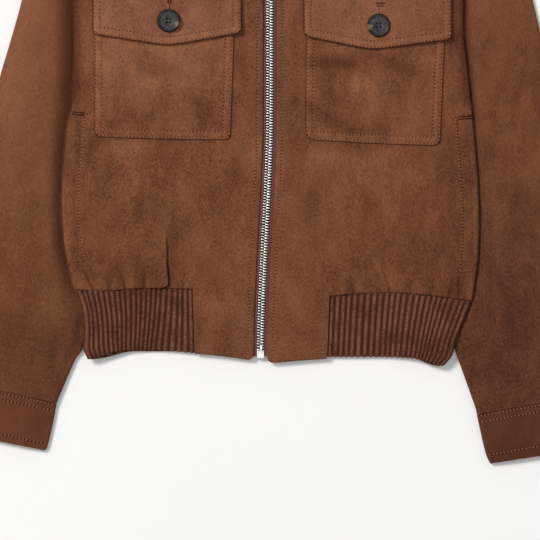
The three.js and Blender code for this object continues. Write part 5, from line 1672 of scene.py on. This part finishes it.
def zipPull():
    width, thick = 8, 1.2
    tilt = math.radians(1.5)
    pivot = (0.002, 0.266, 0.0081)
    startPiece()
    bpy.ops.mesh.primitive_cube_add(size=1, location=(0, 0, 0))
    pull = bpy.context.active_object
    pull.name = "zipPull"
    pull.scale = (width * 0.001, 0.022, thick * 0.001)
    pull.location = (0, -0.015, 0)
    applyPlace(pull)
    bpy.context.view_layer.objects.active = pull
    pull.select_set(True)
    bpy.ops.object.mode_set(mode="EDIT")
    for wall, out, reach in (("end", -1, 0.0035), ("start", 1, 0.0026)):
        selectFaces(pull, lambda centre, normal, out=out: normal.y * out > 0.9)
        for step, narrow in ((0.5, 0.82), (0.35, 0.6), (0.15, 0.5)):
            bpy.ops.mesh.extrude_region_move(TRANSFORM_OT_translate={"value": (0, out * reach * step, 0)})
            bpy.ops.transform.resize(value=(narrow if out < 0 else 1 - (1 - narrow) * 0.25, 1, 1))
    bpy.ops.object.mode_set(mode="OBJECT")
    for cutterSize, cutterUp in (((3.6, 5.2, 4), -3.2), ((3.2, 3.2, 4), -25.6)):
        cutter = hardCube("cutter", cutterSize, (0, cutterUp, 0))
        if cutterUp < -20:
            bevelled(cutter, 1.2, 4, 60)
        startPiece()
        pull.select_set(True)
        bpy.context.view_layer.objects.active = pull
        opening = pull.modifiers.new("opening", "BOOLEAN")
        opening.operation = "DIFFERENCE"
        opening.object = cutter
        bpy.ops.object.modifier_apply(modifier="opening")
        bpy.data.objects.remove(cutter, do_unlink=True)
    bevelled(pull, 0.3, 3)
    pull.rotation_euler = (tilt, 0, 0)
    pull.location = pivot
    applyPlace(pull)
    sharpen(pull, 40)
    finished(pull, zipNickel, ["zip_pull"], body="pull")


zipPull()
print("zip made")


# buttons with four holes, and the buttonholes above them

buttonPiece = {"radius": 12.2, "thick": 3.4, "hole": 1.15, "holeFrom": 2.5}
# section from the middle out: distance, height
buttonSection = [(0, 2.0), (4.2, 2.0), (4.7, 2.2), (6.3, 2.25), (6.6, 2.05), (6.9, 2.25), (8.7, 2.3),
    (9.0, 2.0), (9.35, 2.15), (9.8, 2.8), (10.3, 3.0), (10.8, 2.7), (11.3, 1.8), (11.8, 1.0), (12.2, 0.5),
    (12.0, 0.2), (10.6, 0)]


def buttonShape(side, label):
    across, up = pockets[side]["button"]
    around = np.linspace(0, 2 * math.pi, 16, endpoint=False)
    under = frontTop(across + buttonPiece["radius"] * np.cos(around),
        up + buttonPiece["radius"] * np.sin(around))
    base = float(under.max()) + 4.7
    startPiece()
    bpy.ops.mesh.primitive_circle_add(vertices=72, radius=buttonSection[-1][0] * 0.001, fill_type="NGON",
        location=(0, 0, 0))
    button = bpy.context.active_object
    button.name = "button" + label
    bpy.ops.object.mode_set(mode="EDIT")
    bpy.ops.mesh.select_all(action="SELECT")
    for (radius, height), (before, beforeHeight) in zip(buttonSection[-2::-1], buttonSection[::-1]):
        if radius < 1:
            break
        bpy.ops.mesh.extrude_region_move(TRANSFORM_OT_translate={"value": (0, 0,
            (height - beforeHeight) * 0.001)})
        bpy.ops.transform.resize(value=(radius / before, radius / before, 1))
    bpy.ops.mesh.select_all(action="SELECT")
    bpy.ops.mesh.normals_make_consistent(inside=False)
    bpy.ops.object.mode_set(mode="OBJECT")
    for k in range(4):
        turn = math.pi / 4 + k * math.pi / 2
        startPiece()
        spot = (buttonPiece["holeFrom"] * math.cos(turn) * 0.001,
            buttonPiece["holeFrom"] * math.sin(turn) * 0.001, 0.002)
        bpy.ops.mesh.primitive_cylinder_add(vertices=20, radius=buttonPiece["hole"] * 0.001, depth=0.008,
            location=spot)
        cutter = bpy.context.active_object
        startPiece()
        button.select_set(True)
        bpy.context.view_layer.objects.active = button
        hole = button.modifiers.new("hole", "BOOLEAN")
        hole.operation = "DIFFERENCE"
        hole.object = cutter
        bpy.ops.object.modifier_apply(modifier="hole")
        bpy.data.objects.remove(cutter, do_unlink=True)
    bevelled(button, 0.18, 2, 50)
    button.location = (across * 0.001 + 0.002, (up - 265) * 0.001, base * 0.001)
    applyPlace(button)
    sharpen(button, 32)
    finished(button, hornButton, ["button_" + label.lower()])
    reach = buttonPiece["holeFrom"] / math.sqrt(2)
    holes = [(across + reach * a, up + reach * b) for a in (-1, 1) for b in (-1, 1)]
    lines = [[(x - 1.2, y), (x + 1.2, y)] for x, y in holes]
    sewnLines("buttonThread" + label, lines, lambda x, up: base + 0.5 + 0 * x, 2.4,
        [threadDark, threadDark])


for side, label in ((-1, "Left"), (1, "Right")):
    buttonShape(side, label)
print("buttons made")


# rows of stitches

# an open outline moved inwards, its sharp corners rounded
def insetLine(points, offset, corner):
    p = np.asarray(points, float)
    way = np.diff(p, axis=0)
    way = way / np.hypot(way[:, 0], way[:, 1])[:, None]
    normal = np.stack([-way[:, 1], way[:, 0]], -1)
    moved = [p[0] + normal[0] * offset]
    for n in range(1, len(p) - 1):
        both = normal[n - 1] + normal[n]
        moved.append(p[n] + both / (1 + normal[n - 1] @ normal[n]) * offset)
    moved.append(p[-1] + normal[-1] * offset)
    line = [moved[0]]
    for n in range(1, len(p) - 1):
        radius = max(corner - offset, 0.8)
        if way[n - 1] @ way[n] > 0.8:
            line.append(moved[n])
            continue
        start, stop = moved[n] - way[n - 1] * radius, moved[n] + way[n] * radius
        for t in np.linspace(0, 1, 7):
            line.append((1 - t) ** 2 * start + 2 * t * (1 - t) * moved[n] + t * t * stop)
    line.append(moved[-1])
    return np.array(line)


# short rows that close a welt's ends
weltBars = {
    # the top bars are drawn wholly in the hole material: painted shade of two grooves
    -1: [("Top", [(-207.2, 260.2), (-194.7, 258.6)], [threadHoleShade, threadHoleShade]),
    ("TopSecond", [(-207.8, 257.8), (-195, 256.5)], [threadHoleShade, threadHoleShade]),
         ("Foot", [(-210.4, 105.2), (-196, 104)], [threadBrown, threadHoleShade])],
    1: [("Top", [(196.4, 254.6), (210.4, 256)], [threadHoleShade, threadHoleShade]),
    ("TopSecond", [(196.8, 252.3), (210.8, 253.6)], [threadHoleShade, threadHoleShade]),
        ("Foot", [(199.5, 93.2), (213, 94.6)], [threadBrown, threadHoleShade])],
}

for side, label in ((-1, "Left"), (1, "Right")):
    p, f = pockets[side]["patch"], pockets[side]["flap"]
    rows = [insetLine(patchOutline(p), sewn[row], p["corner"]) for row in ("near", "far")]
    rows = [np.array(stepsAlong(line, 1.0)[0]) for line in rows]
    shown = [line[line[:, 1] < 352] for line in rows]
    sewnLines("pocketStitches" + label, shown, lambda x, up, side=side: patchTop(side, x, up))
    rows = [insetLine(flapOutline(f), sewn[row], f["corner"]) for row in ("near", "far")]
    sewnLines("flapStitches" + label, rows, lambda x, up, side=side: flapTop(side, x, up))
    low, high = welts[side]
    ups = np.linspace(low + 1.4, high - 1.4, 60)
    inner = np.stack([edgeAcross(side, ups) - side * (welts["far"] + sewn["welt"]), ups], -1)
    sewnLines("weltStitches" + label, [inner], frontTop, pitch=stitch["zipPitch"])
    for name, bar, threads in weltBars[side]:
        sewnLines("welt" + name + label, [bar], lambda x, up,
            side=side: np.maximum(weltTop(side, x, up), frontTop(x, up) + 0.3),
                  pitch=2.1, threads=threads)
    ups = np.linspace(tabHem[side][-1 if side < 0 else 0][1] + 2, 536, 260)
    edgeRow = np.stack([zipAcross(ups) + side * (zipSlit + sewn["zip"]), ups], -1)
    sewnLines("zipStitches" + label, [edgeRow], frontTop, pitch=stitch["zipPitch"])
print("front stitches made")


# rows across a cuff, a distance below its seam
def cuffLine(side, below):
    rows = cuffRows[side]
    start, stop = np.array(rows[0][:2], float), np.array(rows[0][2:], float)
    down = np.array(rows[1][:2], float) - start
    downOut = np.array(rows[1][2:], float) - stop
    start = start + down / np.hypot(*down) * below
    stop = stop + downOut / np.hypot(*downOut) * below
    way = (stop - start) / np.hypot(*(stop - start))
    return [start + way * 2.5, stop - way * 2.5]


def tubeTop(side, x, up):
    seam = cuffLine(side, 0)
    width = float(np.hypot(*(seam[1] - seam[0])))
    fromInner = np.hypot(x - seam[0][0], up - seam[0][1])
    half = cloth["wall"] + (cloth["pressed"] + (cloth["loft"] - cloth["pressed"])
        * cuffFullness(np.abs(x), up, np.abs(x - seam[0][0]), width)) / 2
    edge = np.minimum(fromInner, width - fromInner)
    return half + half * rounded(np.maximum(edge, 0), half) + cuffDetail(side, x, up) * smooth(0, 16, edge)


for side, label in ((-1, "Left"), (1, "Right")):
    lines = [cuffLine(side, below) for below in (1.8, 8.4, 44.0)]
    sewnLines("cuffStitches" + label, lines, lambda x, up, side=side: tubeTop(side, x, up) + 0.05)
print("cuff stitches made")


# a buttonhole: close stitches beside a slit, an eye at its top on the left and a bar on the right
def buttonholeShape(side, label):
    across, up = pockets[side]["hole"], pockets[side]["button"][1]
    low, high = up + 11.0, up + (18.2 if side < 0 else 20.0)
    height = lambda x, up: flapTop(side, x, up) + 0.1
    beside = [[(across + way * 0.4, y), (across + way * 1.5, y)] for y in np.arange(low, high,
        0.66) for way in (-1, 1)]
    sewnLines("buttonhole" + label, beside, lambda x, up: height(x, up) - 0.25, pitch=1.1,
        threads=[threadBrown, threadBrown])
    lines = [[(across, low), (across, high)]]
    if side < 0:
        turns = np.linspace(-0.5 * math.pi, 1.5 * math.pi, 21)
        lines.append([(across + 0.4 + 1.7 * math.cos(turn),
            high + 1.7 + 1.7 * math.sin(turn)) for turn in turns])
    else:
        lines += [[(across - 2.2, high), (across + 3.0, high)],
            [(across - 3.6, high + 3), (across + 5.4, high + 3)]]
    sewnLines("buttonholeSlit" + label, lines, height, pitch=0.9, threads=[threadRed, threadHoleShade])


for side, label in ((-1, "Left"), (1, "Right")):
    buttonholeShape(side, label)


# table, camera and light

def makeTable():
    startPiece()
    bpy.ops.mesh.primitive_plane_add(size=6, location=(0, 0, -0.0006))
    table = bpy.context.active_object
    table.name = "table"
    material, tree, shader, coords = newMaterial("paleTable")
    faint = noise(tree, coords, 3, 2, 0.5)
    tree.links.new(blendColor(tree, faint, srgb(247, 247, 247), srgb(250, 250, 250)),
        shader.inputs["Base Color"])
    shader.inputs["Roughness"].default_value = 0.8
    shader.inputs["Specular IOR Level"].default_value = 0.1
    table.data.materials.append(material)


makeTable()

camera = bpy.data.cameras.new("camera")
camera.lens = 300
camera.sensor_width = 36
cameraObject = bpy.data.objects.new("camera", camera)
cameraObject.location = (0.002, (94.5 - 265) / 1000, 4.725)
scene.collection.objects.link(cameraObject)
scene.camera = cameraObject


def areaLight(name, position, target, size, power, color):
    light = bpy.data.lights.new(name, "AREA")
    light.shape = "DISK"
    light.size = size
    light.energy = power
    light.color = color
    made = bpy.data.objects.new(name, light)
    made.location = position
    way = np.array(target) - np.array(position)
    flat = math.hypot(way[0], way[1])
    made.rotation_euler = (math.atan2(flat, -way[2]), 0, math.atan2(way[1], way[0]) - math.pi / 2)
    scene.collection.objects.link(made)


areaLight("keyLight", (-5.0, 3.6, 6.9), (0, -0.17, 0), 3.0, 575, (1.0, 0.985, 0.965))
areaLight("topLight", (0, -0.17, 6.0), (0, -0.171, 0), 2.5, 40, (1.0, 1.0, 1.0))

world = bpy.data.worlds.new("studio")
world.use_nodes = True
background = world.node_tree.nodes["Background"]
background.inputs["Color"].default_value = (1, 1, 1, 1)
background.inputs["Strength"].default_value = 0.43
scene.world = world
scene.view_settings.view_transform = "Standard"
scene.view_settings.look = "None"
print("camera and lights placed")
